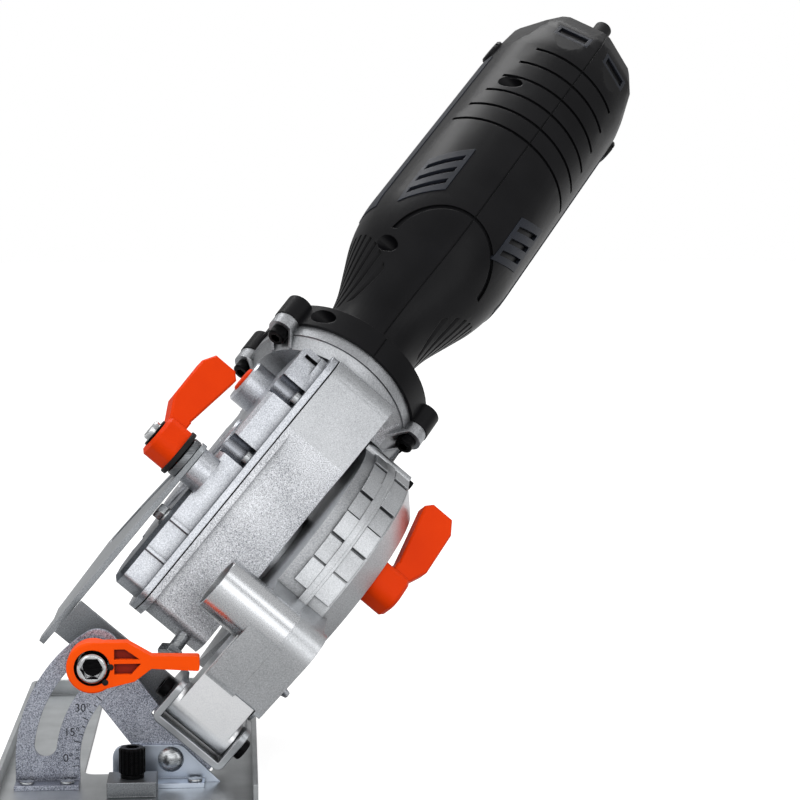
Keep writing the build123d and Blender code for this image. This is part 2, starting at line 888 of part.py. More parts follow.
def hood():
    """Raised roof over the motor's end of the case."""
    slope = (case_top - nose_top) / (case_top_y - nose_y)
    foot = nose_top + slope * (hood_front - nose_y)
    high = case_top * 2
    roof = polygon((hood_front - hood_lean * foot, 0), (case_rear, 0), (case_rear, high),
                   (hood_front + hood_lean * (high - foot), high))
    return slab_x(case_outline(hood_proud) & roof, seam_x, case_right)


def lug_places():
    across = lug_circle * cos(radians(lug_angle))
    height = lug_circle * sin(radians(lug_angle))
    return [(motor_x + i * across, motor_z + k * height) for i in (-1, 1) for k in (-1, 1)]


def gear_housing():
    body = slab_x(case_outline(), seam_x, case_right) + case_lip(seam_x, seam_x + lip_thick)
    body += hood() + motor_flange()
    body -= slab_x(case_outline(-case_wall), seam_x, case_right - case_right_wall)
    for y, z in cover_screw_places():
        boss = along_x(cover_screw_boss, seam_x, seam_x + cover_screw_reach, y, z)
        boss -= along_x(crown_radius + free_gap, seam_x, case_right, layshaft_y, layshaft_z)
        body += boss & slab_x(case_outline(), seam_x, case_right)
        body -= along_x(cover_screw_radius + seat_clearance, seam_x, seam_x + cover_screw_reach, y, z)
    bore, outer, width = spindle_bearing
    wall = case_right - case_right_wall
    body -= along_x(outer + seat_clearance, wall, wall + width, spindle_y, spindle_z)
    body -= along_x(outer - 3, wall, case_right, spindle_y, spindle_z)
    bore, outer, width = layshaft_bearing
    body -= along_x(outer + seat_clearance, wall, wall + width, layshaft_y, layshaft_z)
    bore, outer, width = motor_bearing
    body -= along_y(outer + seat_clearance, flange_face - 2 - width, flange_face, motor_x, motor_z)
    body -= along_y(outer - 3, case_rear - 20, flange_face, motor_x, motor_z)
    front = flange_face - flange_thick
    for x, z in lug_places():
        body -= along_y(flange_screw_radius + seat_clearance, front, flange_face, x, z)
        body -= along_y(flange_screw_head + slide_clearance, front - 2 * flange_screw_height, front, x, z)
    for y, z in guard_screw_places():
        body -= along_x(guard_screw_radius + seat_clearance, case_right - 7, case_right, y, z)
    return body - stop_bolt_hole()


def stop_bolt_hole():
    z = (nose_top + nose_low) / 2
    return along_y(stop_bolt_radius + seat_clearance, nose_y, nose_y + case_wall * 3, stop_bolt_x, z)


def stop_bolt():
    z = (nose_top + nose_low) / 2
    shank = along_y(stop_bolt_radius, nose_y - stop_bolt_length, nose_y + case_wall, stop_bolt_x, z)
    front = nose_y - stop_bolt_length
    return shank + hex_y(stop_bolt_head, front - stop_bolt_head_height, front, stop_bolt_x, z)


def gear_gasket():
    x0 = seam_x - gasket
    sheet_shape = case_lip(x0, seam_x) + slab_x(case_outline(), x0, seam_x)
    sheet_shape -= slab_x(case_outline(-case_wall), x0, seam_x)
    for y, z in cover_screw_places():
        sheet_shape -= along_x(cover_screw_radius + seat_clearance, x0, seam_x, y, z)
    return sheet_shape


def gear_cover():
    x1 = seam_x - gasket
    body = slab_x(case_outline(-cover_inset), cover_left, x1)
    body = chamfer(body.edges().group_by(Axis.X)[0], cover_edge)
    for y in cover_rib_places:
        strip = polygon((y, nose_top), (y + cover_rib, nose_top), (y + cover_rib, case_top), (y, case_top))
        body += slab_x(case_outline(cover_rib_proud - cover_inset) & strip, cover_left + cover_edge, x1)
    body -= block(cover_left - 1, cover_left + cover_step_width, case_top_y - cover_step_length, case_rear,
                  case_top - cover_inset - cover_step_depth, case_top * 2)
    body += case_lip(x1 - lip_thick, x1) + slab_x(case_outline(), x1 - lip_thick, x1)
    hollow = slab_x(case_outline(-cover_inset - case_wall), cover_inside, x1)
    for y, z in cover_screw_places():
        hollow -= along_x(cover_pocket_radius + case_wall, cover_inside, x1, y, z)
    body -= hollow
    for size, y, z in ((spindle_bearing, spindle_y, spindle_z), (layshaft_bearing, layshaft_y, layshaft_z)):
        bore, outer, width = size
        seat = ring_x(outer + case_wall, outer + seat_clearance, cover_inside, cover_inside + width, y, z)
        body += seat & slab_x(case_outline(-cover_inset), cover_left, x1)
    for y, z in cover_screw_places():
        body -= along_x(cover_pocket_radius, cover_left - 1, x1 - lip_thick, y, z)
        body -= along_x(cover_screw_radius + seat_clearance, x1 - lip_thick, x1, y, z)
    out = cover_left - lock_boss_out
    body += along_x(lock_boss_radius, out, cover_inside + 4, lock_y, motor_z)
    body -= along_x(lock_button_radius + slide_clearance, out, out + lock_travel + 3, lock_y, motor_z)
    body -= along_x(lock_pin_radius + slide_clearance, out, x1, lock_y, motor_z)
    body += along_x(stud_boss_radius, depth_plate_x + plate_gap, cover_inside, stud_y, stud_z)
    return body - along_x(stud_radius + seat_clearance, depth_plate_x, cover_inside, stud_y, stud_z)


def gear_cover_screws():
    x1 = seam_x - gasket - lip_thick
    screws = []
    for y, z in cover_screw_places():
        shank = along_x(cover_screw_radius, x1, seam_x + cover_screw_reach - 1, y, z)
        head = along_x(cover_screw_head, x1 - cover_screw_head_height, x1, y, z)
        screws.append(shank + head - hex_x(cover_screw_head / 2, x1 - cover_screw_head_height,
                                           x1 - cover_screw_head_height / 2, y, z))
    return screws


def depth_stud():
    outer = depth_plate_x - depth_sheet - spacer_thick - stud_thread_end
    stud = along_x(stud_radius, outer + 8, cover_inside, stud_y, stud_z)
    return stud - along_x(lever_screw_radius + seat_clearance, outer + 8, outer + 14, stud_y, stud_z)


def depth_spacer():
    x1 = depth_plate_x - depth_sheet - plate_gap
    ring = ring_x(spacer_radius, stud_radius + seat_clearance, x1 - spacer_thick, x1, stud_y, stud_z)
    return chamfer(ring.edges().group_by(Axis.X)[0], 0.6)


def depth_lever_place():
    x = depth_plate_x - depth_sheet - spacer_thick - 2 * plate_gap
    return Pos(x, stud_y, stud_z) * Rot(180, 0, 180)


def depth_lever_screw():
    washer = ring_x(lever_washer_radius, lever_screw_radius, wing_hub_height, wing_hub_height + lever_washer)
    x = wing_hub_height + lever_washer
    head = along_x(lever_screw_head, x, x + lever_screw_height)
    head = fillet(head.edges().group_by(Axis.X)[-1], 1.2)
    for turn in (0, 90):
        slot = block(x + 1, x + lever_screw_height + 1, -0.5, 0.5, -2.4, 2.4)
        head -= Rot(turn, 0, 0) * slot
    shank = along_x(lever_screw_radius, stud_thread_end - 13, x)
    return washer + head + shank


# Head body: guard
def tube_disc():
    return disc(tube_radius, (tube_y, tube_z))


def tube_neck():
    """Section of the dust tube and the throat that joins it to the drum."""
    return hull_of(tube_disc(), disc(tube_radius, (spindle_y, spindle_z)))


def guard_foot():
    """The flat cheek between the tube and the pivot block."""
    foot = disc(boss_radius + guard_foot_wall, (tube_y * guard_foot_share, tube_z * guard_foot_share))
    return hull_of(tube_disc(), foot)


def below_guard(low_left, low_right):
    """Everything under the guard's lower edge, which rises towards the cover's side."""
    deep = guard_bottom - 3 * guard_outer
    face = polygon((guard_left * 2, deep), (guard_right * 2, deep), (guard_right * 2, low_right),
                   (guard_right, low_right), (guard_seam, low_left), (guard_left * 2, low_left))
    far = spindle_y + 2 * guard_outer
    return slab_y(face, -far, far)


def blade_room():
    """The hollow the blade turns in, tapering under the cover's chamfer."""
    x0 = guard_left + guard_side_wall
    x1 = guard_right - guard_side_wall
    taper = x1 - guard_chamfer_start
    room = along_x(guard_inner, x0, guard_chamfer_start, spindle_y, spindle_z)
    cone = loft([Plane.YZ.offset(guard_chamfer_start) * disc(guard_inner, (spindle_y, spindle_z)),
                 Plane.YZ.offset(x1) * disc(guard_inner - taper, (spindle_y, spindle_z))])
    return room + cone


def chip_way():
    toward = atan2(spindle_z - tube_z, spindle_y - tube_y)
    end = (tube_y + chip_reach * cos(toward), tube_z + chip_reach * sin(toward))
    face = hull_of(disc(chip_channel, (tube_y, tube_z)), disc(chip_channel, end))
    return slab_x(face, guard_left + guard_side_wall, guard_seam)


def rim_pads(x0, x1):
    """Cast pads along the rim, stepped in height as they follow each other."""
    pads = []
    for index in range(pad_count):
        first = pad_first + pad_step * index
        last = first + pad_step - degrees(pad_gap / guard_outer)
        height = pad_height * (0.5 + 0.5 * (index % 2))
        far = guard_outer * 2
        wedge = polygon((0, 0), (far * cos(radians(first)), far * sin(radians(first))),
                        (far * cos(radians(last)), far * sin(radians(last))))
        ring = disc(guard_outer + height) - disc(guard_outer - guard_wall / 2)
        pads.append(slab_x(Pos(spindle_y, spindle_z) * (ring & wedge), x0, x1))
    return pads


def screw_relief():
    """Room at the guard's lower rear corner for the nearest flange screw's head."""
    front = flange_face - flange_thick - flange_screw_height - free_gap
    top = motor_z - lug_circle * sin(radians(lug_angle)) + flange_screw_head + free_gap
    return block(guard_left * 2, guard_right * 2, front, flange_face, guard_bottom * 2, top)


def guard_body():
    body = along_x(guard_outer, guard_left, guard_seam, spindle_y, spindle_z)
    body += slab_x(tube_neck(), guard_left, guard_seam) + slab_x(guard_foot(), guard_left, guard_seam)
    ridge = disc(guard_outer + ridge_height, (spindle_y, spindle_z))
    body += slab_x(ridge, ridge_left, guard_seam)
    for pad in rim_pads(pads_left, ridge_left):
        body += pad
    body -= blade_room()
    body -= below_guard(guard_bottom, guard_bottom) + screw_relief()
    hub = along_x(guard_hub_radius, case_right, guard_left + guard_side_wall, spindle_y, spindle_z)
    body += hub - below_guard(guard_bottom, guard_bottom)
    body += along_x(tube_radius, tube_open, guard_left, tube_y, tube_z)
    side = bracket_half_inside - boss_side_gap
    web = pivot_block(0.0)
    body += web - along_x(tube_radius, -side, side, tube_y, tube_z) - blade_room()
    body -= along_x(tube_bore, tube_open, guard_seam - guard_side_wall, tube_y, tube_z)
    body -= chip_way()
    body -= along_x(plunge_pin_radius + running_clearance, -side, side)
    inside = guard_left + guard_side_wall
    body -= along_x(spindle_shoulder + free_gap, case_right, inside, spindle_y, spindle_z)
    for y, z in guard_screw_places():
        body -= along_x(guard_screw_radius + seat_clearance, case_right, inside, y, z)
    for y, z in cover_boss_places():
        body += along_x(guard_boss_radius, guard_left, guard_seam, y, z)
        body -= along_x(guard_boss_screw + seat_clearance, guard_left + guard_side_wall, guard_seam, y, z)
    return body


def pivot_block(grow):
    """The block that carries the guard on the plunge pin."""
    side = bracket_half_inside - boss_side_gap
    far = disc(boss_radius + grow, (tube_y * 0.8, tube_z * 0.8))
    web = slab_x(hull_of(disc(boss_radius + grow), far), -pivot_block_half, pivot_block_half + grow)
    return web + along_x(boss_radius + grow, -side, side)


def ear_swing():
    """Radius about the plunge pin that clears the bracket's ears at every pitch."""
    reach = max(bracket_front, bracket_back)
    return sqrt(reach**2 + bracket_ear_top**2) + free_gap


def guard_screw_places():
    places = []
    for angle in guard_screw_angles:
        places.append((spindle_y + guard_screw_circle * cos(radians(angle)),
                       spindle_z + guard_screw_circle * sin(radians(angle))))
    return places


def cover_boss_places():
    """Bosses outside the blade's circle that hold the cover."""
    reach = guard_outer + guard_boss_proud - guard_boss_radius
    return [(spindle_y + reach * cos(radians(angle)), spindle_z + reach * sin(radians(angle)))
            for angle in guard_boss_angles]


def guard_screws():
    screws = []
    x1 = guard_left + guard_side_wall
    for y, z in guard_screw_places():
        head = along_x(guard_screw_head, x1, x1 + guard_screw_head_height, y, z)
        head -= hex_x(guard_screw_head / 2, x1 + 1, x1 + guard_screw_head_height, y, z)
        screws.append(head + along_x(guard_screw_radius, case_right - 6, x1, y, z))
    for y, z in cover_boss_places():
        x1 = guard_chamfer_start
        head = along_x(guard_boss_head, x1, x1 + guard_screw_head_height, y, z)
        head -= hex_x(guard_boss_head / 2, x1 + 1, x1 + guard_screw_head_height, y, z)
        screws.append(head + along_x(guard_boss_screw, guard_left + guard_side_wall + 1, x1, y, z))
    return screws


def guard_cover():
    body = along_x(guard_outer, guard_seam, guard_right, spindle_y, spindle_z)
    body = chamfer(body.edges().group_by(Axis.X)[-1], chamfer_depth)
    body += slab_x(tube_neck(), guard_seam, tube_end) + slab_x(guard_foot(), guard_seam, guard_foot_right)
    body += slab_x(disc(guard_outer + ridge_height, (spindle_y, spindle_z)), guard_seam, ridge_right)
    for pad in rim_pads(ridge_right, guard_chamfer_start - 1):
        body += pad
    body -= blade_room()
    for y, z in cover_boss_places():
        body += along_x(guard_boss_radius, guard_seam, guard_chamfer_start, y, z)
        body -= along_x(guard_boss_screw + seat_clearance, guard_seam, guard_chamfer_start, y, z)
        body -= along_x(guard_boss_head + slide_clearance, guard_chamfer_start, guard_right, y, z)
    body -= below_guard(guard_bottom, guard_cover_bottom) + screw_relief()
    body -= pivot_block(free_gap)
    body -= along_x(ear_swing(), bracket_half_inside - boss_side_gap, guard_right + 1)
    stud_end = guard_right + wing_hub_height * 0.6
    body += along_x(cover_stud_radius, guard_right - 1, stud_end, cover_lever_y, cover_lever_z)
    return body


def cover_lever_place():
    return Pos(guard_right + plate_gap, cover_lever_y, cover_lever_z)


def cover_lever():
    return wing_lever(cover_stud_radius + running_clearance, wing_hub_height * 0.7)


# Spindle body
def spindle():
    bore, outer, width = spindle_bearing
    left = cover_inside + plate_gap
    shaft = along_x(bore, left, guard_left, spindle_y, spindle_z)
    flange_back = -blade_thick / 2 - inner_flange_thick
    shaft += along_x(spindle_shoulder, case_right + free_gap, flange_back, spindle_y, spindle_z)
    arbor_end = blade_thick / 2 + outer_flange_thick / 2
    shaft += along_x(arbor_radius, flange_back, arbor_end, spindle_y, spindle_z)
    hole = blade_bolt_radius + seat_clearance
    return shaft - along_x(hole, -blade_bolt_reach, outer_flange_thick * 2, spindle_y, spindle_z)


def inner_flange():
    x1 = -blade_thick / 2
    bore = arbor_radius + seat_clearance
    ring = ring_x(flange_radius, bore, x1 - inner_flange_thick, x1, spindle_y, spindle_z)
    return ring - along_x(flange_radius - flange_rim, x1 - flange_recess, x1, spindle_y, spindle_z)


def outer_flange():
    x0 = blade_thick / 2
    bore = arbor_radius + seat_clearance
    ring = ring_x(flange_radius, bore, x0, x0 + outer_flange_thick, spindle_y, spindle_z)
    return ring - along_x(flange_radius - flange_rim, x0, x0 + flange_recess, spindle_y, spindle_z)


def blade_bolt():
    x0 = blade_thick / 2 + outer_flange_thick
    head = along_x(blade_bolt_head + 2.5, x0, x0 + 1.5, spindle_y, spindle_z)
    head += hex_x(blade_bolt_head, x0, x0 + blade_bolt_height, spindle_y, spindle_z)
    return head + along_x(blade_bolt_radius, -blade_bolt_reach + 1, x0, spindle_y, spindle_z)


def saw_blade():
    points = []
    gullet = blade_radius - blade_tooth_depth
    for tooth in range(blade_teeth):
        for radius, share in ((blade_radius, 0.0), (blade_radius - 0.6, 0.35), (gullet, 0.62), (gullet, 0.9)):
            angle = radians(360 / blade_teeth * (tooth + share))
            points.append((radius * cos(angle), radius * sin(angle)))
    face = polygon(*points) - disc(arbor_radius + seat_clearance)
    return slab_x(Pos(spindle_y, spindle_z) * face, -blade_thick / 2, blade_thick / 2)


def mesh_angle():
    return degrees(atan2(layshaft_z - spindle_z, layshaft_y - spindle_y))


def spindle_gear():
    face = toothed_face(spindle_teeth, spur_module) - disc(spindle_bearing[0] + seat_clearance)
    turned_face = Pos(spindle_y, spindle_z) * Rot(0, 0, mesh_angle()) * face
    return slab_x(turned_face, spur_right - spur_width, spur_right)


# Layshaft body
def layshaft():
    left = cover_inside + plate_gap
    right = case_right - case_right_wall + layshaft_bearing[2] - plate_gap
    shaft = along_x(layshaft_radius, left, right, layshaft_y, layshaft_z)
    turn = mesh_angle() + 180 + 180 / layshaft_teeth
    face = Rot(0, 0, turn) * toothed_face(layshaft_teeth, spur_module)
    return shaft + slab_x(Pos(layshaft_y, layshaft_z) * face, spur_right - spur_width, spur_right)


def crown_gear():
    """Bevel wheel on the layshaft, its toothed cone facing the motor's axis."""
    outer = bevel_module * crown_teeth / 2
    pinion_pitch = bevel_module * pinion_teeth / 2
    tip = pinion_pitch + tooth_addendum * bevel_module + bevel_tooth_gap
    inner = outer - crown_face
    face_outer = motor_x - tip
    face_inner = motor_x - tip * inner / outer
    back = face_outer - crown_back
    points = [(back, layshaft_radius + seat_clearance), (face_inner, layshaft_radius + seat_clearance),
              (face_inner, inner), (face_outer, outer), (face_outer - crown_back / 3, outer),
              (face_outer - crown_back / 2, crown_hub_radius), (back, crown_hub_radius)]
    wheel = revolve(Plane.XY * polygon(*points), Axis.X)
    gap = bevel_module * 1.4
    for tooth in range(crown_teeth):
        notch = block(face_outer - gap, face_inner + 1, inner, outer + 1, -gap / 4, gap / 4)
        wheel -= Rot(360 / crown_teeth * (tooth + 0.5), 0, 0) * notch
    return Pos(0, layshaft_y, layshaft_z) * wheel


# Motor shaft body
def motor_shaft():
    outer = bevel_module * crown_teeth / 2
    inner = outer - crown_face
    big = toothed_face(pinion_teeth, bevel_module)
    small = scale(big, inner / outer)
    stations = ((layshaft_y + inner, small), (layshaft_y + outer, big))
    ends = []
    for y, face in stations:
        ends.append(Plane((motor_x, y, motor_z), x_dir=(1, 0, 0), z_dir=(0, 1, 0)) * face)
    pinion = loft(ends, ruled=True)
    rear = flange_face + rear_bearing_at + motor_bearing[2]
    shaft = along_y(shaft_radius, layshaft_y + outer, rear, motor_x, motor_z)
    half = lock_collar_width / 2
    collar = along_y(lock_collar_radius, lock_y - half, lock_y + half, motor_x, motor_z)
    for hole in range(lock_collar_holes):
        pin = along_x(lock_pin_radius + slide_clearance, shaft_radius, lock_collar_radius + 1)
        collar -= Pos(motor_x, lock_y, motor_z) * Rot(0, 180 + 360 / lock_collar_holes * hole, 0) * pin
    return pinion + shaft + collar


def armature():
    y0 = flange_face + armature_first
    y1 = flange_face + armature_last
    core = along_y(armature_radius, y0, y1) - along_y(shaft_radius + seat_clearance, y0, y1)
    for slot in range(armature_slots):
        cut = block(-armature_slot_width / 2, armature_slot_width / 2, y0, y1,
                    armature_radius - armature_slot_depth, armature_radius + 1)
        core -= Rot(0, 360 / armature_slots * slot, 0) * cut
    return Pos(motor_x, 0, motor_z) * core


def commutator():
    middle = flange_face + brush_at
    drum = along_y(commutator_radius, middle - commutator_half, middle + commutator_half)
    drum -= along_y(shaft_radius + seat_clearance, middle - commutator_half, middle + commutator_half)
    return Pos(motor_x, 0, motor_z) * drum


def cooling_fan():
    y0 = flange_face + fan_at
    y1 = y0 + fan_width
    fan = along_y(fan_radius, y1 - fan_disc, y1) + along_y(fan_hub, y0, y1)
    half = fan_blade_thick / 2
    for blade in range(fan_blades):
        vane = block(-half, half, y0, y1, fan_hub - 1, fan_radius - 0.5)
        fan += Rot(0, 360 / fan_blades * blade, 0) * vane
    return Pos(motor_x, 0, motor_z) * (fan - along_y(shaft_radius + seat_clearance, y0, y0 + fan_width))


# Head body: motor housing
def housing_outline(shrink=0.0):
    """Half outline of the housing as (radius, distance along Y), smooth at neck and belly."""
    points = [(neck_radius + 2, collar_length), (neck_radius, neck_at), (belly_radius, belly_at),
              (belly_radius - 0.5, shoulder_at), (tail_radius, tail_at)]
    points = [(radius - shrink, flange_face + along) for radius, along in points]
    line = Polyline(*points)
    end = flange_face + housing_length - shrink
    closing = Polyline(points[-1], (end_radius - shrink, end), (0, end),
                       (0, flange_face + collar_length), points[0])
    face = make_face([line, closing])
    low = flange_face + neck_at - 1
    high = flange_face + shoulder_at + 1
    corners = [v for v in face.vertices() if low < v.Y < high and v.X > 1]
    return fillet(corners, neck_blend)


def about_motor(face):
    return Pos(motor_x, 0, motor_z) * revolve(Plane.XY * face, Axis.Y)


def housing_solid(grow=0.0):
    return about_motor(housing_outline(-grow))


def sector(first, last, half_angle, middle_angle, far=2.0):
    """A wedge about the motor's axis, between two distances behind the flange."""
    reach = belly_radius * far
    points = [(0, 0)]
    for angle in (middle_angle - half_angle, middle_angle, middle_angle + half_angle):
        points.append((reach * cos(radians(angle)), reach * sin(radians(angle))))
    return Pos(motor_x, 0, motor_z) * slab_y(polygon(*points), flange_face + first, flange_face + last)


def panel_cutter(side, margin):
    x0 = motor_x
    x1 = motor_x + side * belly_radius * 2
    y0 = flange_face + panel_first - margin
    y1 = flange_face + panel_last + margin
    half = panel_half + margin
    return block(min(x0, x1), max(x0, x1), y0, y1, motor_z - half, motor_z + half)


def side_panel(side):
    shell = housing_solid(panel_proud) - housing_solid(-panel_depth + seat_clearance)
    return shell & panel_cutter(side, 0)


def vent_cutter(side, top, margin):
    """A leaning parallelogram looking out from the axis at the vent's angle."""
    half = vent_width / 2 + margin
    y0 = flange_face + vent_first - margin
    y1 = flange_face + vent_first + vent_length + margin
    face = polygon((-half, y0), (half, y0 + vent_lean), (half, y1 + vent_lean), (-half, y1))
    slab = slab_z(face, 0, belly_radius * 2)
    return Pos(motor_x, 0, motor_z) * Rot(0, 90 * (1 - top) + side * top * (90 - vent_angle), 0) * slab


def vent_grille(side, top):
    shell = housing_solid(panel_proud) - housing_solid(-vent_depth + seat_clearance)
    grille = shell & vent_cutter(side, top, 0)
    half = vent_width / 2
    pitch = vent_length / (vent_slots + 0.5)
    for slot in range(vent_slots):
        y0 = flange_face + vent_first + pitch * (slot + 0.5)
        y1 = y0 + vent_slot_width
        face = polygon((-half + 2, y0 + 1), (half - 2, y0 + vent_lean - 1),
                       (half - 2, y1 + vent_lean - 1), (-half + 2, y1 + 1))
        slab = slab_z(face, 0, belly_radius * 2)
        grille -= Pos(motor_x, 0, motor_z) * Rot(0, 90 * (1 - top) + side * top * (90 - vent_angle), 0) * slab
    return grille


def vent_grilles():
    return [vent_grille(side, top) for side in (-1, 1) for top in (-1, 1)] + end_vents()


def arch_groove():
    """The curved line where the neck's cap meets the belly, on the upper side."""
    ring = Ellipse(arch_half + arch_width / 2, arch_rise + arch_width / 2)
    ring -= Ellipse(arch_half - arch_width / 2, arch_rise - arch_width / 2)
    wide = belly_radius
    ring &= polygon((-wide, 0), (wide, 0), (wide, wide), (-wide, wide))
    wall = Pos(motor_x, flange_face + arch_at, motor_z) * slab_z(ring, 0, belly_radius * 2)
    return wall & (housing_solid(1) - housing_solid(-groove_depth))


def grip_flutes(side):
    """Slanting grip grooves inside an oval on one side of the neck."""
    oval = Ellipse(flute_reach, flute_half)
    bars = None
    for index in range(flute_count):
        offset_up = flute_step * (index - (flute_count - 1) / 2)
        bar = Rot(0, 0, flute_slant) * Pos(0, offset_up) * Rectangle(flute_reach * 4, flute_width)
        bars = bar if bars is None else bars + bar
    inner, outer = sorted((motor_x, motor_x + side * belly_radius * 2))
    patch = slab_x(Pos(flange_face + flute_at, motor_z) * (bars & oval), inner, outer)
    return patch & (housing_solid(1) - housing_solid(-flute_depth))


def octagon(apothem, along):
    face = RegularPolygon(apothem, facet_sides, major_radius=False)
    plane = Plane((motor_x, flange_face + along, motor_z), x_dir=(1, 0, 0), z_dir=(0, 1, 0))
    return plane * face


def faceted_end():
    """Room that keeps the housing round up to its shoulder and cuts flats on its end."""
    round_part = along_y(belly_radius * 2, flange_face - 1, flange_face + facet_first, motor_x, motor_z)
    middle = tail_radius * facet_middle_share
    end = end_radius * facet_end_share
    shoulder = loft([octagon(belly_radius, facet_first), octagon(middle, facet_middle)], ruled=True)
    cap = loft([octagon(middle, facet_middle), octagon(end, housing_length)], ruled=True)
    return round_part + shoulder + cap


def end_vent_places():
    """Turn about the motor's axis of each window in the end's flats, beside the joint of the halves."""
    half = 180 / facet_sides
    return [middle + side * half for middle in (0, 180) for side in (-1, 1)]


def end_vent_cutter(turn, inset):
    half = end_vent_half - inset
    window = block(-half, half, flange_face + end_vent_first + inset, flange_face + end_vent_last - inset,
                   0, belly_radius * 2)
    return Pos(motor_x, 0, motor_z) * Rot(0, turn, 0) * window


def end_skin(depth):
    """The outermost layer of the faceted end."""
    middle = tail_radius * facet_middle_share - depth
    inside = loft([octagon(belly_radius - depth, facet_first), octagon(middle, facet_middle)], ruled=True)
    return (housing_solid() & faceted_end()) - inside


def end_vents():
    frames = []
    for turn in end_vent_places():
        frame = end_vent_cutter(turn, seat_clearance) - end_vent_cutter(turn, end_vent_frame)
        frames.append(frame & end_skin(end_vent_depth - seat_clearance))
    return frames


def parting_line():
    """Shallow groove where the two housing halves meet."""
    half = parting_width / 2
    reach = belly_radius + collar_radius
    slab = block(motor_x - half, motor_x + half, flange_face, housing_end, motor_z - reach, motor_z + reach)
    collar_end = flange_face + collar_length
    rim = along_y(collar_radius + 1, flange_face, collar_end, motor_x, motor_z)
    rim -= along_y(collar_radius - parting_depth, flange_face, collar_end, motor_x, motor_z)
    skin = housing_solid(1) - housing_solid(-parting_depth)
    return slab & (skin + rim)


def housing_whole():
    body = housing_solid()
    body += along_y(collar_radius, flange_face, flange_face + collar_length, motor_x, motor_z)
    for x, z in lug_places():
        body += along_y(lug_radius + 0.4, flange_face, flange_face + collar_length - 1, x, z)
    band = housing_solid(1) - housing_solid(-groove_depth)
    for index in range(groove_count):
        y0 = groove_first + groove_step * index
        body -= band & sector(y0, y0 + groove_width, groove_span - groove_span_step * index, 90)
    hollow = housing_solid(-housing_wall)
    inner = neck_radius - housing_wall
    hollow += along_y(inner, flange_face, flange_face + collar_length, motor_x, motor_z)
    body -= hollow
    for along, height in housing_screw_places:
        for top in (-1, 1):
            boss = along_x(housing_screw_boss, motor_x - belly_radius, motor_x + belly_radius,
                           flange_face + along, motor_z + top * height)
            body += boss & housing_solid(-0.5 * housing_wall)
    body += bearing_web() + stator_rings()
    for side in (-1, 1):
        body -= panel_cutter(side, seat_clearance) & (housing_solid(1) - housing_solid(-panel_depth))
        for top in (-1, 1):
            body -= vent_cutter(side, top, seat_clearance) & (housing_solid(1) - housing_solid(-vent_depth))
    body -= arch_groove() + parting_line()
    for side in (-1, 1):
        body -= grip_flutes(side)
    body &= faceted_end()
    for turn in end_vent_places():
        body -= end_vent_cutter(turn, 0) & end_skin(end_vent_depth)
    body -= brush_tunnel() + trigger_slot()
    gland_hole = gland_radius + seat_clearance
    body -= along_y(gland_hole, housing_end - housing_wall * 3, housing_end + 1, motor_x, motor_z)
    screw_end = flange_face + flange_screw_reach
    for x, z in lug_places():
        body -= along_y(flange_screw_radius + seat_clearance, flange_face, screw_end, x, z)
    near = motor_x - housing_screw_half
    outside = motor_x - 2 * belly_radius
    for along, height in housing_screw_places:
        for top in (-1, 1):
            y = flange_face + along
            z = motor_z + top * height
            body -= along_x(housing_screw_recess, outside, near, y, z)
            far = motor_x + housing_screw_half
            body -= along_x(housing_screw_radius + seat_clearance, near - 1, far, y, z)
    return body


def bearing_web():
    bore, outer, width = motor_bearing
    y0 = flange_face + rear_bearing_at
    web = along_y(belly_radius, y0, y0 + width, motor_x, motor_z) & housing_solid(-0.5 * housing_wall)
    web -= along_y(outer + seat_clearance, y0, y0 + width, motor_x, motor_z)
    return web


def stator_rings():
    rings = None
    for along in (armature_first + 2, armature_last - 2 - web_thick):
        y0 = flange_face + along
        ring = along_y(belly_radius, y0, y0 + web_thick, motor_x, motor_z)
        ring &= housing_solid(-0.5 * housing_wall)
        ring -= along_y(stator_radius + seat_clearance, y0, y0 + web_thick, motor_x, motor_z)
        rings = ring if rings is None else rings + ring
    return rings


def brush_tunnel():
    y = flange_face + brush_at
    reach = belly_radius + 5
    return along_x(brush_cap_radius + seat_clearance, motor_x - reach, motor_x + reach, y, motor_z)


def trigger_slot():
    half = trigger_width / 2 + slide_clearance
    y0 = flange_face + trigger_first - slide_clearance
    y1 = flange_face + trigger_first + trigger_length + slide_clearance
    return block(motor_x - half, motor_x + half, y0, y1, trigger_low - 10, motor_z - neck_radius / 2)


def housing_half(side):
    x0 = motor_x
    x1 = motor_x + side * belly_radius * 2
    return housing_whole_solid & block(min(x0, x1), max(x0, x1), flange_face - 1, housing_end + 1,
                                       motor_z - 2 * belly_radius, motor_z + 2 * belly_radius)


def housing_screws():
    screws = []
    for along, height in housing_screw_places:
        for top in (-1, 1):
            y = flange_face + along
            z = motor_z + top * height
            x0 = motor_x - housing_screw_half
            head = along_x(housing_screw_head, x0 - 2.2, x0, y, z) - hex_x(1.5, x0 - 2.2, x0 - 1.0, y, z)
            screws.append(head + along_x(housing_screw_radius, x0, motor_x + housing_screw_half - 1, y, z))
    return screws


def flange_screws():
    screws = []
    y1 = flange_face - flange_thick
    for x, z in lug_places():
        head = along_y(flange_screw_head, y1 - flange_screw_height, y1, x, z)
        head = chamfer(head.edges().group_by(Axis.Y)[0], 0.6)
        head -= hex_y(flange_screw_socket, y1 - flange_screw_height, y1 - flange_screw_height / 2, x, z)
        screws.append(head + along_y(flange_screw_radius, y1, flange_face + collar_length - 3, x, z))
    return screws


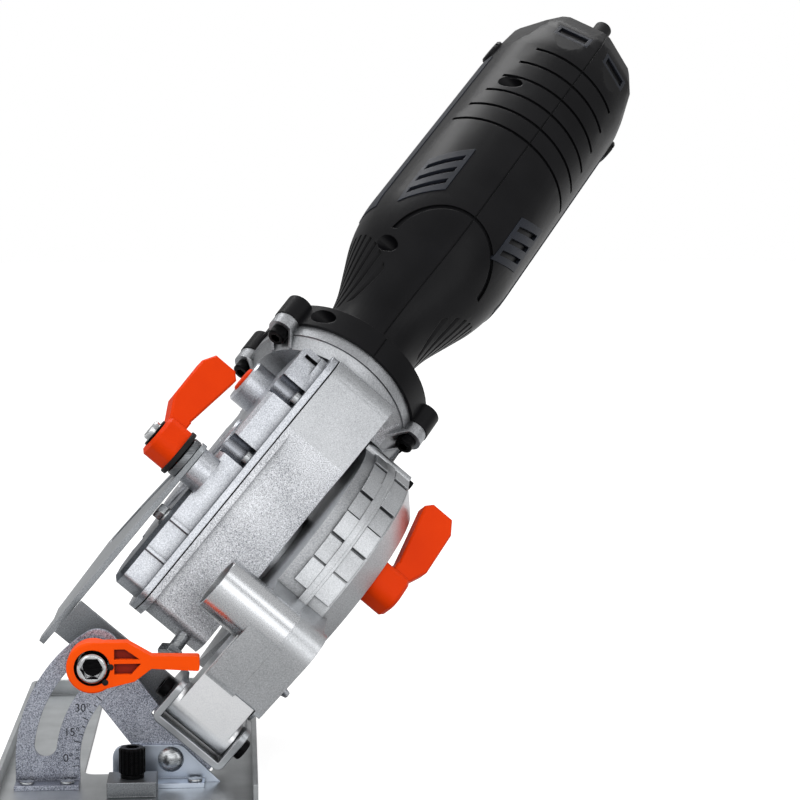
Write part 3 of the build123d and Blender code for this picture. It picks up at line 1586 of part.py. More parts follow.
def brush_caps():
    caps = []
    y = flange_face + brush_at
    for side in (-1, 1):
        out = motor_x + side * (belly_radius - 1.5 + brush_cap_proud)
        inside = motor_x + side * (commutator_radius + brush_length)
        cap = along_x(brush_cap_radius, min(out, inside), max(out, inside), y, motor_z)
        cap = chamfer(cap.edges().group_by(Axis.X)[-1 if side > 0 else 0], 1.0)
        slot = block(min(out, out - side * 1.2), max(out, out - side * 1.2), y - 0.7, y + 0.7,
                     motor_z - brush_cap_radius, motor_z + brush_cap_radius)
        caps.append(cap - slot)
    return caps


def carbon_brushes():
    brushes = []
    y = flange_face + brush_at
    half = brush_width / 2
    for side in (-1, 1):
        near = motor_x + side * (commutator_radius + slide_clearance)
        far = motor_x + side * (commutator_radius + brush_length)
        x0, x1 = sorted((near, far))
        brushes.append(block(x0, x1, y - half, y + half, motor_z - half, motor_z + half))
    return brushes


def stator_core():
    y0 = flange_face + armature_first
    y1 = flange_face + armature_last
    core = along_y(stator_radius, y0, y1, motor_x, motor_z)
    return core - along_y(armature_radius + air_gap, y0, y1, motor_x, motor_z)


def stator_coils():
    coils = []
    for y0 in (flange_face + armature_first - coil_length, flange_face + armature_last):
        ring = along_y(coil_outer, y0, y0 + coil_length, motor_x, motor_z)
        coils.append(ring - along_y(coil_inner, y0, y0 + coil_length, motor_x, motor_z))
    return coils


def motor_bearings():
    width = motor_bearing[2]
    places = (flange_face - 2 - width, flange_face + rear_bearing_at)
    return [bearing_y(motor_bearing, y0, motor_x, motor_z) for y0 in places]


def spindle_bearings():
    places = (cover_inside, case_right - case_right_wall)
    return [bearing_x(spindle_bearing, x0, spindle_y, spindle_z) for x0 in places]


def layshaft_bearings():
    places = (cover_inside, case_right - case_right_wall)
    return [bearing_x(layshaft_bearing, x0, layshaft_y, layshaft_z) for x0 in places]


def cord_gland():
    y0 = housing_end - gland_in
    gland = along_y(gland_radius, y0, housing_end + gland_out, motor_x, motor_z)
    gland += along_y(gland_ring, housing_end, housing_end + gland_ring_length, motor_x, motor_z)
    gland = fillet(gland.edges().group_by(Axis.Y)[-1], 0.8)
    return gland - along_y(gland_bore, y0, housing_end + gland_out, motor_x, motor_z)


def trigger():
    half = trigger_width / 2
    y0 = flange_face + trigger_first
    y1 = y0 + trigger_length
    pad = block(motor_x - half, motor_x + half, y0, y1, trigger_low, trigger_top)
    pad = fillet(pad.edges().filter_by(Axis.X).group_by(Axis.Z)[0], 4.0)
    return fillet(pad.edges().filter_by(Axis.Z), 1.5)


def power_switch():
    y = flange_face + trigger_first + trigger_length / 2
    low = trigger_top + trigger_travel + switch_gap
    body = block(motor_x - switch_half, motor_x + switch_half, y - 10, y + 10, low + 1, switch_top)
    return body + along_z(plunger_radius, low, low + 1, motor_x, y)


def spindle_lock_button():
    out = cover_left - lock_boss_out - lock_button_out
    head_end = cover_left - lock_boss_out + 2
    head = along_x(lock_button_radius, out, head_end, lock_y, motor_z)
    head = fillet(head.edges().group_by(Axis.X)[0], 1.2)
    tip = motor_x - lock_collar_radius - lock_stop_short - lock_travel
    return head + along_x(lock_pin_radius, out + 2, tip, lock_y, motor_z)


# Frames at rest
base_frame = Pos(0, 0, 0)
tilt_frame = Location((0, 0, bevel_axis_height), (0, bevel_rest, 0))
head_frame = tilt_frame * Location((0, plunge_y, plunge_z), (pitch_rest, 0, 0))
bevel_lever_frame = tilt_frame * Pos(bolt_x, 0, bolt_z) * Rot(0, -bevel_rest, 0)
depth_lever_frame = head_frame * depth_lever_place()
cover_lever_frame = head_frame * cover_lever_place()

housing_whole_solid = housing_whole()

pieces = {
    base_frame: {
        "base_plate": base_plate(), "bevel_quadrant": bevel_quadrant(), "hinge_bracket": hinge_bracket(),
        "foot_rivets": foot_rivets(), "bevel_pivot_rivet": bevel_pivot_rivet(), "guide_strap": guide_strap(),
        "guide_clamp_screw": guide_clamp_screw(),
    },
    tilt_frame: {
        "tilt_arm": tilt_arm(), "pivot_bracket": pivot_bracket(), "depth_plate": depth_plate(),
        "bevel_bolt": bevel_bolt(), "bevel_washer": bevel_washer(), "plunge_pin": plunge_pin(),
        "plunge_pin_screws": plunge_pin_screws(),
    },
    bevel_lever_frame: {"bevel_lever": bevel_lever(), "bevel_lever_nut": bevel_lever_nut()},
    depth_lever_frame: {"depth_lever": depth_lever(), "depth_lever_screw": depth_lever_screw()},
    cover_lever_frame: {"cover_lever": cover_lever()},
    head_frame: {
        "gear_housing": gear_housing(), "gear_cover": gear_cover(), "gear_gasket": gear_gasket(),
        "gear_cover_screws": gear_cover_screws(), "stop_bolt": stop_bolt(), "depth_stud": depth_stud(),
        "depth_spacer": depth_spacer(), "guard_body": guard_body(), "guard_cover": guard_cover(),
        "guard_screws": guard_screws(), "spindle": spindle(), "inner_flange": inner_flange(),
        "outer_flange": outer_flange(), "blade_bolt": blade_bolt(), "saw_blade": saw_blade(),
        "spindle_gear": spindle_gear(), "spindle_bearings": spindle_bearings(), "layshaft": layshaft(),
        "crown_gear": crown_gear(), "layshaft_bearings": layshaft_bearings(), "motor_shaft": motor_shaft(),
        "armature": armature(), "commutator": commutator(), "cooling_fan": cooling_fan(),
        "motor_bearings": motor_bearings(), "stator_core": stator_core(), "stator_coils": stator_coils(),
        "carbon_brushes": carbon_brushes(), "brush_caps": brush_caps(),
        "motor_housing_left": housing_half(-1), "motor_housing_right": housing_half(1),
        "housing_screws": housing_screws(), "flange_screws": flange_screws(),
        "side_panel_left": side_panel(-1), "side_panel_right": side_panel(1), "vent_grilles": vent_grilles(),
        "cord_gland": cord_gland(), "trigger": trigger(), "power_switch": power_switch(),
        "spindle_lock_button": spindle_lock_button(),
    },
}

for frame, nodes in pieces.items():
    for name, shape in nodes.items():
        solids = shape if isinstance(shape, list) else [shape]
        placed = [solid for item in solids for solid in (frame * item).solids()]
        whole = placed[0] if len(placed) == 1 else Compound(children=placed)
        export_step(whole, os.path.join("parts", name + ".step"))
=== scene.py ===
import json
from math import cos, pi, radians, sin

import bmesh
import bpy
from mathutils import Matrix, Vector

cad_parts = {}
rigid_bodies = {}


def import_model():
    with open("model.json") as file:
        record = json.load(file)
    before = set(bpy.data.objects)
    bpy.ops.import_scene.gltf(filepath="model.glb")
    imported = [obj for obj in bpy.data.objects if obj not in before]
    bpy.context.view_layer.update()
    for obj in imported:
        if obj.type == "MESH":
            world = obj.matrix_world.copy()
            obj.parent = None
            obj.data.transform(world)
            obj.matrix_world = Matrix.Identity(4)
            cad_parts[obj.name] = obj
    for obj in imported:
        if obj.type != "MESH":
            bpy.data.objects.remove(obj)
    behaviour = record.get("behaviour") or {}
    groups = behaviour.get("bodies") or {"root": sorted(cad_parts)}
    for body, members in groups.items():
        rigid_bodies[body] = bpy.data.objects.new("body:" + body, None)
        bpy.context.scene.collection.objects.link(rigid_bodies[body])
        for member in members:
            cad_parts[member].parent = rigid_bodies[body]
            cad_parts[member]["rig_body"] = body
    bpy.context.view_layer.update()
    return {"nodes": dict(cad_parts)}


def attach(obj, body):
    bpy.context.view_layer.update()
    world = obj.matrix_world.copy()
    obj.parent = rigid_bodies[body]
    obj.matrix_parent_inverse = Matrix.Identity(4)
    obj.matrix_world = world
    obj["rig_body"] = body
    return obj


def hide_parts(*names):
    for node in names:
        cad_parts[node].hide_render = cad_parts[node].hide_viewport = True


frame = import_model()
scene = bpy.context.scene
mm = 0.001

# Rest pose of the tool, as the solids are drawn: lean of the head and its pitch about the plunge pin
bevel_rest = 40.8
pitch_rest = 51.0
bevel_axis_height = 12.0
plunge_y = 6.0
plunge_z = 20.5
to_world = Matrix.Scale(mm, 4)
lean = Matrix.Rotation(radians(bevel_rest), 4, "Y")
pitch = Matrix.Rotation(radians(pitch_rest), 4, "X")
to_tilt = to_world @ Matrix.Translation((0, 0, bevel_axis_height)) @ lean
to_head = to_tilt @ Matrix.Translation((0, plunge_y, plunge_z)) @ pitch


# Camera: a long lens, a little above and to the left of straight ahead
camera_azimuth = radians(-4.0)
camera_elevation = radians(5.5)
camera_place = Vector((0.02964, -0.94399, 0.25233))
camera_lens = 103.5
sensor_width = 36.0
nearest_seen = 0.01
away = Vector((-sin(camera_azimuth) * cos(camera_elevation),
               cos(camera_azimuth) * cos(camera_elevation),
               -sin(camera_elevation)))
camera = bpy.data.objects.new("camera", bpy.data.cameras.new("camera"))
scene.collection.objects.link(camera)
camera.data.lens = camera_lens
camera.data.sensor_width = sensor_width
camera.data.clip_start = nearest_seen
camera.location = camera_place
camera.rotation_euler = away.to_track_quat("-Z", "Y").to_euler()
scene.camera = camera


# Materials
def linear(code):
    """An sRGB hex colour as the linear RGBA that the shader takes."""
    values = [int(code[i:i + 2], 16) / 255 for i in (1, 3, 5)]
    return [v / 12.92 if v <= 0.04045 else ((v + 0.055) / 1.055) ** 2.4 for v in values] + [1.0]


def add(tree, kind, inputs=None, stops=(), **settings):
    """Adds a node: inputs maps a socket to a value or a socket, stops are a ramp's places and colours."""
    made = tree.nodes.new(kind)
    for name, value in settings.items():
        setattr(made, name, value)
    for name, value in (inputs or {}).items():
        if isinstance(value, bpy.types.NodeSocket):
            tree.links.new(value, made.inputs[name])
        else:
            made.inputs[name].default_value = value
    for i, (position, code) in enumerate(stops):
        made.color_ramp.elements[i].position = position
        made.color_ramp.elements[i].color = linear(code)
    return made


def new_material(name):
    """A material with an empty node tree, and the socket that gives the place on the part."""
    material = bpy.data.materials.new(name)
    material.use_nodes = True
    tree = material.node_tree
    tree.nodes.clear()
    place = add(tree, "ShaderNodeTexCoord").outputs["Object"]
    return material, tree, place


def per_mm(size):
    """Texture scale for a pattern of this size in millimetres, as Object coordinates are in metres."""
    return 1000.0 / size


# Round that the shaders draw on edges, in mm; how far its normal agrees with a plain face and at a sharp edge;
# and the share of open sky over a closed-in corner and over an open face
shaded_edge = 0.4
plain_face = 0.97
sharp_edge = 0.75
closed_in = 0.35
wide_open = 0.95


def broken_edges(tree):
    """Normal that rounds the edges, and how far it turns: 0 on a plain face, 1 on a sharp edge."""
    rounded = add(tree, "ShaderNodeBevel", {"Radius": shaded_edge * mm}, samples=4).outputs["Normal"]
    plain = add(tree, "ShaderNodeNewGeometry").outputs["Normal"]
    agree = add(tree, "ShaderNodeVectorMath", {0: rounded, 1: plain}, operation="DOT_PRODUCT")
    turn = add(tree, "ShaderNodeMapRange", {"Value": agree.outputs["Value"], "From Min": plain_face,
                                            "From Max": sharp_edge})
    return rounded, turn.outputs["Result"]


def handled(tree, colour, turn, corner_shade, edge_light_and_wear, reach):
    """Painted shade where faces close in on each other, and edges painted lighter, partly as wear and partly
    as a painted highlight; reach is in millimetres.
    """
    open_sky = add(tree, "ShaderNodeAmbientOcclusion", {"Distance": reach * mm}, samples=6, only_local=True)
    unshaded_share = add(tree, "ShaderNodeMapRange", {"Value": open_sky.outputs["AO"], "From Min": closed_in,
                                             "From Max": wide_open, "To Min": corner_shade, "To Max": 1.0})
    edge_light = add(tree, "ShaderNodeMath", {0: turn, 1: edge_light_and_wear}, operation="MULTIPLY")
    lit = add(tree, "ShaderNodeMath", {0: edge_light.outputs["Value"], 1: 1.0}, operation="ADD")
    tone = add(tree, "ShaderNodeMath", {0: unshaded_share.outputs["Result"], 1: lit.outputs["Value"]},
               operation="MULTIPLY")
    used = add(tree, "ShaderNodeVectorMath", {0: colour, "Scale": tone.outputs["Value"]}, operation="SCALE")
    return used.outputs["Vector"]


def surface(tree, tones, tone, grain, roughness, swing, bump, depth, corner_shade, edge_light_and_wear, reach, sockets,
            contrast=0.2):
    """Ends a material: tone moves between its two tones, grain moves its roughness and its relief.

    Corners take painted shade within reach, and edges are painted lighter, partly as wear and partly as a
    painted highlight. Depth and reach are in millimetres.
    """
    stops = ((0.5 - contrast, tones[0]), (0.5 + contrast, tones[1]))
    colour = add(tree, "ShaderNodeValToRGB", {"Fac": tone}, stops=stops).outputs["Color"]
    rough = add(tree, "ShaderNodeMapRange", {"Value": grain, "To Min": roughness - swing,
                                             "To Max": roughness + swing})
    rounded, turn = broken_edges(tree)
    used = handled(tree, colour, turn, corner_shade, edge_light_and_wear, reach)
    normal = add(tree, "ShaderNodeBump", {"Height": grain, "Strength": bump, "Distance": depth * mm,
                                          "Normal": rounded})
    shader = add(tree, "ShaderNodeBsdfPrincipled", {"Base Color": used, "Roughness": rough.outputs["Result"],
                                                    "Normal": normal.outputs["Normal"], **sockets})
    add(tree, "ShaderNodeOutputMaterial", {"Surface": shader.outputs["BSDF"]})


def speckled_metal(name, tones, roughness, grain, contrast, bump):
    """Blasted or plated metal: single grains catch the light, so the skin shows light and dark specks."""
    material, tree, place = new_material(name)
    grains = add(tree, "ShaderNodeTexNoise", {"Vector": place, "Scale": per_mm(grain), "Detail": 2.0,
                                              "Roughness": 0.6})
    drift = add(tree, "ShaderNodeTexNoise", {"Vector": place, "Scale": per_mm(30.0), "Detail": 2.0})
    mixed = add(tree, "ShaderNodeMix", {"Factor": 0.25, "A": grains.outputs["Fac"],
                                        "B": drift.outputs["Fac"]}, data_type="FLOAT")
    surface(tree, tones, tone=mixed.outputs["Result"], grain=grains.outputs["Fac"], roughness=roughness,
            swing=0.12, bump=bump, depth=0.15, corner_shade=0.3, edge_light_and_wear=0.15, reach=5.0, sockets={"Metallic": 1.0},
            contrast=contrast)
    return material


def rolled_sheet(name, tones, roughness, bump):
    """Rolled and plated sheet: smooth, with faint long roll lines and a soft mirror."""
    material, tree, place = new_material(name)
    along = add(tree, "ShaderNodeMapping", {"Vector": place, "Scale": (1.0, 0.08, 1.0)}).outputs["Vector"]
    lines = add(tree, "ShaderNodeTexNoise", {"Vector": along, "Scale": per_mm(0.8), "Detail": 3.0})
    cloud = add(tree, "ShaderNodeTexNoise", {"Vector": place, "Scale": per_mm(18.0), "Detail": 3.0})
    surface(tree, tones, tone=cloud.outputs["Fac"], grain=lines.outputs["Fac"], roughness=roughness,
            swing=0.04, bump=bump, depth=0.05, corner_shade=0.4, edge_light_and_wear=0.2, reach=5.0, sockets={"Metallic": 1.0})
    return material


def turned_steel(name, tones, roughness, line):
    """Turned or drawn steel: fine streaks along the metal, sharper reflections than the castings."""
    material, tree, place = new_material(name)
    stretch = 8.0
    along = add(tree, "ShaderNodeMapping", {"Vector": place, "Scale": (1.0, 1.0, stretch)}).outputs["Vector"]
    streaks = add(tree, "ShaderNodeTexNoise", {"Vector": along, "Scale": per_mm(line * stretch),
                                               "Detail": 3.0}).outputs["Fac"]
    surface(tree, tones, tone=streaks, grain=streaks, roughness=roughness, swing=0.06, bump=0.06,
            depth=0.1, corner_shade=0.4, edge_light_and_wear=0.15, reach=2.0, sockets={"Metallic": 1.0})
    return material


def moulded_plastic(name, tones, roughness, grain, bump, gloss, edge_light_and_wear=0.3):
    """Moulded plastic: the mould's fine eroded texture, with a slow drift in tone over the part."""
    material, tree, place = new_material(name)
    drift = add(tree, "ShaderNodeTexNoise", {"Vector": place, "Scale": per_mm(25.0), "Detail": 2.0})
    skin = add(tree, "ShaderNodeTexNoise", {"Vector": place, "Scale": per_mm(grain), "Detail": 2.0})
    surface(tree, tones, tone=drift.outputs["Fac"], grain=skin.outputs["Fac"], roughness=roughness,
            swing=0.07, bump=bump, depth=0.1, corner_shade=0.45, edge_light_and_wear=edge_light_and_wear, reach=2.0,
            sockets={"IOR": 1.5, "Specular IOR Level": gloss})
    return material


# Grit is really about 0.2 mm; most of it is drawn at about 0.5 mm so that it shows in the render

# Shot-blasted casting: light and dark grains side by side, and no clear reflection
blasted_aluminium = speckled_metal("shot_blasted_aluminium", ("#73757A", "#E6E8EC"),
                                   roughness=0.42, grain=0.5, contrast=0.16, bump=0.55)
# Die-cast skin: an even silver grey with a soft sheen
smooth_aluminium = speckled_metal("die_cast_aluminium", ("#9A9DA0", "#D4D6D9"),
                                  roughness=0.36, grain=0.5, contrast=0.22, bump=0.14)
# Tumbled casting: cooler than the die-cast skin, with a light grain
tumbled_aluminium = speckled_metal("tumbled_aluminium", ("#8C8F96", "#D6D9DE"),
                                   roughness=0.36, grain=0.5, contrast=0.17, bump=0.22)
# As-cast skin: greyer and duller than its neighbours; on the guard's drum the same darker tone is painted
# shade
as_cast_skin_and_painted_shade = speckled_metal("as_cast_aluminium_and_painted_shade", ("#808285", "#BEC0C3"),
                               roughness=0.42, grain=0.6, contrast=0.22, bump=0.24)
# Fettled casting: fine grain with a streak of sheen where it has been ground
hood_casting = speckled_metal("fettled_aluminium", ("#85878A", "#C4C6C9"),
                              roughness=0.36, grain=0.45, contrast=0.20, bump=0.28)
# Burnished tube: a clear band of light along its length
burnished_aluminium = speckled_metal("burnished_aluminium", ("#B2B4B7", "#DADCDF"),
                                     roughness=0.26, grain=0.5, contrast=0.25, bump=0.06)
# Pivot boss and its flat: nearly white, a painted highlight
aluminium_painted_highlight = speckled_metal("aluminium_painted_highlight", ("#E4E6E9", "#FAFBFC"),
                                    roughness=0.36, grain=0.5, contrast=0.25, bump=0.06)
# Screw pocket: darker than the skin about it as painted shade, with a smooth shine
screw_pocket_painted_shade = speckled_metal("cast_pocket_painted_shade", ("#7C7F86", "#A4A7AD"),
                                roughness=0.28, grain=0.5, contrast=0.25, bump=0.08)
# Zinc-plated steel: blue grey with strong fine dark specks
speckled_zinc = speckled_metal("zinc_plated_steel", ("#50545F", "#C6CAD6"),
                               roughness=0.46, grain=0.36, contrast=0.13, bump=0.3)
# Dull zinc: dark grey, hardly a sheen
dull_zinc = speckled_metal("dull_zinc_plate", ("#5F6367", "#989B9E"),
                           roughness=0.44, grain=0.5, contrast=0.22, bump=0.15)
# Pale zinc: the same plating in a light grey
pale_zinc = speckled_metal("pale_zinc_plate", ("#7C8084", "#BEC2C6"),
                           roughness=0.42, grain=0.5, contrast=0.20, bump=0.15)
# Bright zinc sheet: a soft mirror with faint roll lines
bright_zinc = rolled_sheet("bright_zinc_sheet", ("#8F9296", "#B4B7BA"), roughness=0.32, bump=0.10)
# Nickel-plated base: broad calm reflections of the tool above it
base_sheet = rolled_sheet("nickel_plated_base", ("#A4A7A9", "#BEC1C3"), roughness=0.36, bump=0.03)
# Blue-passivated zinc: a cool tint in the sheen
blue_zinc = rolled_sheet("blue_passivated_zinc", ("#9AA2AE", "#C0C8D4"), roughness=0.30, bump=0.08)
# Bright turned steel: small sharp highlights on rivets, screws and pins
bright_steel = turned_steel("bright_turned_steel", ("#86898C", "#BFC2C4"), roughness=0.28, line=0.3)
# Chrome: the clearest mirror on the tool
chrome = turned_steel("chromed_steel", ("#B9BBBD", "#DADBDC"), roughness=0.14, line=0.3)
# Black oxide: nearly black, with a satin light on its edges
black_oxide = turned_steel("black_oxide_steel", ("#0B0B0C", "#19191A"), roughness=0.40, line=0.3)
# Hardened gear steel: dark grey satin
gear_steel = turned_steel("hardened_gear_steel", ("#5B5D60", "#85888B"), roughness=0.38, line=0.4)
# Ground blade: mid grey with the finest streaks
blade_steel = turned_steel("ground_blade_steel", ("#7C7F82", "#A9ACAF"), roughness=0.32, line=0.25)
# Laminated iron: dull and dark, with the sheets as streaks
laminated_iron = turned_steel("laminated_iron", ("#3C3D3F", "#5A5C5E"), roughness=0.55, line=0.5)
# Enamelled copper: warm brown under lacquer
copper_wire = turned_steel("enamelled_copper", ("#8C4420", "#B86A38"), roughness=0.35, line=0.5)
# Glass-filled nylon: deep black with a broad, quiet sheen
black_nylon = moulded_plastic("glass_filled_nylon_black", ("#0C0C0E", "#131315"),
                              roughness=0.36, grain=0.5, bump=0.10, gloss=0.10)
# Grey ABS: dark blue grey, its edges painted pale, partly as wear and partly as a painted highlight
grey_abs = moulded_plastic("grey_abs", ("#1C1F25", "#282B33"),
                           roughness=0.44, grain=0.5, bump=0.08, gloss=0.15, edge_light_and_wear=1.4)
# Orange ABS: one strong even colour with little shine
orange_abs = moulded_plastic("orange_abs", ("#DD3700", "#E63D00"),
                             roughness=0.44, grain=0.6, bump=0.06, gloss=0.08)
# Light orange ABS: the same plastic in a brighter tone
light_orange_abs = moulded_plastic("light_orange_abs", ("#FA4E00", "#FF5400"),
                                   roughness=0.44, grain=0.6, bump=0.06, gloss=0.10)
# Deep pocket in orange ABS: its floor painted dark red as shade
pocket_floor_painted_shade = moulded_plastic("orange_abs_pocket_painted_shade", ("#7A1804", "#8E2006"),
                             roughness=0.55, grain=0.6, bump=0.06, gloss=0.2)
# Moulded rubber: matt black, coarser than the nylon; in the bevel lever's well and on two discs beside it the
# same black is painted shade
black_rubber_and_painted_shade = moulded_plastic("moulded_rubber_and_painted_shade", ("#09090A", "#101011"),
                               roughness=0.60, grain=0.7, bump=0.20, gloss=0.25)
# Gasket fibre: a dry dark line between the castings
gasket_fibre = moulded_plastic("gasket_fibre", ("#101112", "#1B1C1D"),
                               roughness=0.75, grain=0.4, bump=0.30, gloss=0.2)
# Etched mark: dark grey and matt against the zinc
etched_mark = moulded_plastic("etched_scale_mark", ("#26282C", "#34363B"),
                              roughness=0.60, grain=0.4, bump=0.10, gloss=0.2)
# Pressed carbon: dry black grains
carbon_block = moulded_plastic("pressed_carbon", ("#151515", "#222222"),
                               roughness=0.65, grain=0.3, bump=0.25, gloss=0.3)


# Pieces made from the solids
def link(name, data):
    """An object that is in the scene, at the origin."""
    made = bpy.data.objects.new(name, data)
    scene.collection.objects.link(made)
    return made


def body_of(node):
    """Body that a solid rides on."""
    return frame["nodes"][node]["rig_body"]


weld_distance = 1e-6
flat_within = radians(0.6)
smooth_within = radians(32.0)


def dressed(node, material, edge):
    """A copy of a solid with its edges broken by a small round and its curved faces shaded smooth."""
    mesh = frame["nodes"][node].data.copy()
    mesh.materials.clear()
    mesh.materials.append(material)
    shape = bmesh.new()
    shape.from_mesh(mesh)
    bmesh.ops.remove_doubles(shape, verts=shape.verts, dist=weld_distance)
    bmesh.ops.dissolve_limit(shape, angle_limit=flat_within, verts=shape.verts, edges=shape.edges)
    for face in shape.faces:
        face.smooth = True
        face.material_index = 0
    shape.to_mesh(mesh)
    shape.free()
    mesh.set_sharp_from_angle(angle=smooth_within)
    piece = link(node + "_finish", mesh)
    bevel = piece.modifiers.new("edges", "BEVEL")
    bevel.limit_method = "ANGLE"
    bevel.angle_limit = smooth_within
    bevel.width = edge * mm
    bevel.segments = 2
    bevel.use_clamp_overlap = True
    bevel.harden_normals = False
    weighted = piece.modifiers.new("normals", "WEIGHTED_NORMAL")
    weighted.keep_sharp = False
    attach(piece, body_of(node))
    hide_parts(node)
    return piece


def painted(node, material):
    """A solid that stays as it is and only takes its finish."""
    mesh = frame["nodes"][node].data
    mesh.materials.clear()
    mesh.materials.append(material)


# Finish of each piece that shows, and the round on its edges in millimetres
looks = {
    "base_plate": (base_sheet, 0.5),
    "bevel_quadrant": (speckled_zinc, 0.25),
    "hinge_bracket": (blue_zinc, 0.25),
    "foot_rivets": (bright_steel, 0.2),
    "bevel_pivot_rivet": (bright_steel, 0.2),
    "guide_strap": (dull_zinc, 0.4),
    "guide_clamp_screw": (black_oxide, 0.15),
    "tilt_arm": (speckled_zinc, 0.25),
    "pivot_bracket": (bright_zinc, 0.4),
    "depth_plate": (pale_zinc, 0.3),
    "bevel_bolt": (black_oxide, 0.2),
    "bevel_washer": (bright_steel, 0.2),
    "plunge_pin_screws": (black_oxide, 0.2),
    "bevel_lever": (light_orange_abs, 0.5),
    "bevel_lever_nut": (chrome, 0.2),
    "depth_lever": (orange_abs, 0.6),
    "depth_lever_screw": (chrome, 0.2),
    "cover_lever": (orange_abs, 0.6),
    "gear_housing": (blasted_aluminium, 0.6),
    "gear_cover": (tumbled_aluminium, 0.8),
    "gear_gasket": (gasket_fibre, 0.1),
    "gear_cover_screws": (bright_steel, 0.2),
    "stop_bolt": (bright_steel, 0.2),
    "depth_stud": (bright_steel, 0.2),
    "depth_spacer": (gear_steel, 0.3),
    "guard_body": (smooth_aluminium, 0.6),
    "guard_cover": (smooth_aluminium, 0.6),
    "guard_screws": (black_oxide, 0.2),
    "brush_caps": (black_nylon, 0.3),
    "motor_housing_left": (black_nylon, 0.35),
    "motor_housing_right": (black_nylon, 0.35),
    "housing_screws": (black_oxide, 0.2),
    "flange_screws": (black_oxide, 0.3),
    "side_panel_left": (grey_abs, 0.3),
    "side_panel_right": (grey_abs, 0.3),
    "vent_grilles": (grey_abs, 0.3),
    "cord_gland": (black_rubber_and_painted_shade, 0.4),
    "trigger": (orange_abs, 0.6),
    "spindle_lock_button": (orange_abs, 0.5),
    "saw_blade": (blade_steel, 0.1),
    "inner_flange": (gear_steel, 0.2),
    "outer_flange": (gear_steel, 0.2),
    "blade_bolt": (black_oxide, 0.2),
}
pieces = {node: dressed(node, *look) for node, look in looks.items()}

# Finish of each piece inside
hidden_looks = {
    "plunge_pin": bright_steel, "spindle": gear_steel, "spindle_gear": gear_steel,
    "spindle_bearings": bright_steel, "layshaft": gear_steel, "crown_gear": gear_steel,
    "layshaft_bearings": bright_steel, "motor_shaft": gear_steel, "armature": laminated_iron,
    "commutator": copper_wire, "cooling_fan": grey_abs, "motor_bearings": bright_steel,
    "stator_core": laminated_iron, "stator_coils": copper_wire, "carbon_brushes": carbon_block,
    "power_switch": grey_abs,
}
for node, material in hidden_looks.items():
    painted(node, material)


# Second finishes on parts of a piece
def refinish(piece, material, chosen):
    """Gives the chosen faces of a piece another finish; chosen takes a face's middle in mm and its normal."""
    piece.data.materials.append(material)
    slot = len(piece.data.materials) - 1
    for face in piece.data.polygons:
        if chosen(face.center / mm, face.normal):
            face.material_index = slot


def span_in(node, place):
    """Lowest and highest corner of a solid in the axes of a place, in the place's own millimetres."""
    back = place.inverted()
    points = [back @ vert.co for vert in frame["nodes"][node].data.vertices]
    low = Vector([min(p[i] for p in points) for i in range(3)])
    high = Vector([max(p[i] for p in points) for i in range(3)])
    return low, high


def in_head(middle, normal):
    """A face's middle and normal in the axes of the head."""
    back = to_head.inverted()
    return back @ (middle * mm), (back.to_3x3() @ normal).normalized()


def off_axis(place, facing, y, z):
    """Distance from an axis along the head's X, and how a face looks from it: 1 is outward, -1 inward."""
    out = Vector((place.y - y, place.z - z))
    return out.length, out.normalized().dot(Vector((facing.y, facing.z)))


# A face looks along a direction from this cosine up, and lies on a round skin within this gap in mm
looks_along = 0.9
skin_gap = 0.4

# The bevel lever: a black well round the nut, painted shade, and the floors of its two pockets painted dark
# red as shade
nut_low, nut_high = span_in("bevel_lever_nut", to_world)
nut_x = (nut_low.x + nut_high.x) / 2
nut_z = (nut_low.z + nut_high.z) / 2
lever_front = span_in("bevel_lever", to_world)[0].y
well_radius = 7.6
well_lip = 0.3
pocket_depth = 2.5
pocket_gap = 0.2


def in_well(middle, normal):
    inside = (middle.x - nut_x) ** 2 + (middle.z - nut_z) ** 2 < well_radius ** 2
    return inside and middle.y > lever_front + well_lip


def in_pocket(middle, normal):
    return normal.y < -looks_along and abs(middle.y - lever_front - pocket_depth) < pocket_gap


refinish(pieces["bevel_lever"], black_rubber_and_painted_shade, in_well)
refinish(pieces["bevel_lever"], pocket_floor_painted_shade, in_pocket)

# Its nut is drawn a little smaller outside, so that the painted shade of the well shows as a dark ring; its
# bore stays
nut_share = 0.95
nut_bore = 4.5
nut_axis = Vector((nut_x, 0, nut_z)) * mm
for vert in pieces["bevel_lever_nut"].data.vertices:
    out = (vert.co - nut_axis) * Vector((1, 0, 1))
    if out.length > nut_bore * mm:
        vert.co -= out * (1 - nut_share)

# The castings: the motor flange keeps its as-cast skin and the guard's drum takes the same darker tone as
# painted shade, the raised roof of the gear case is fettled, the dust tube is burnished, and the pivot boss
# and the flat beside it carry a nearly white painted highlight
flange_start = 158.5
hood_front = 111.0
hood_low = 30.0
tube_y = 36.0
tube_z = 31.0
tube_radius = 12.6
pivot_boss_radius = 8.0
pivot_flat_facing = Vector((0.0, -0.65, 0.76)).normalized()
pivot_flat_along = 0.98
pivot_flat_gap = 0.3
spindle_y = 97.0
spindle_z = -23.0
drum_radius = 65.0


def on_motor_flange(middle, normal):
    place, facing = in_head(middle, normal)
    return place.y > flange_start


def on_hood(middle, normal):
    place, facing = in_head(middle, normal)
    return hood_front < place.y < flange_start and place.z > hood_low and facing.z > looks_along


def round_about(place, facing, y, z, radius):
    """True on the outside of a cylinder along the head's X axis, False on flat faces and in bores."""
    distance, outward = off_axis(place, facing, y, z)
    return abs(distance - radius) < skin_gap and outward > looks_along


def on_tube(middle, normal):
    return round_about(*in_head(middle, normal), tube_y, tube_z, tube_radius)


def on_pivot_boss(middle, normal):
    return round_about(*in_head(middle, normal), 0.0, 0.0, pivot_boss_radius)


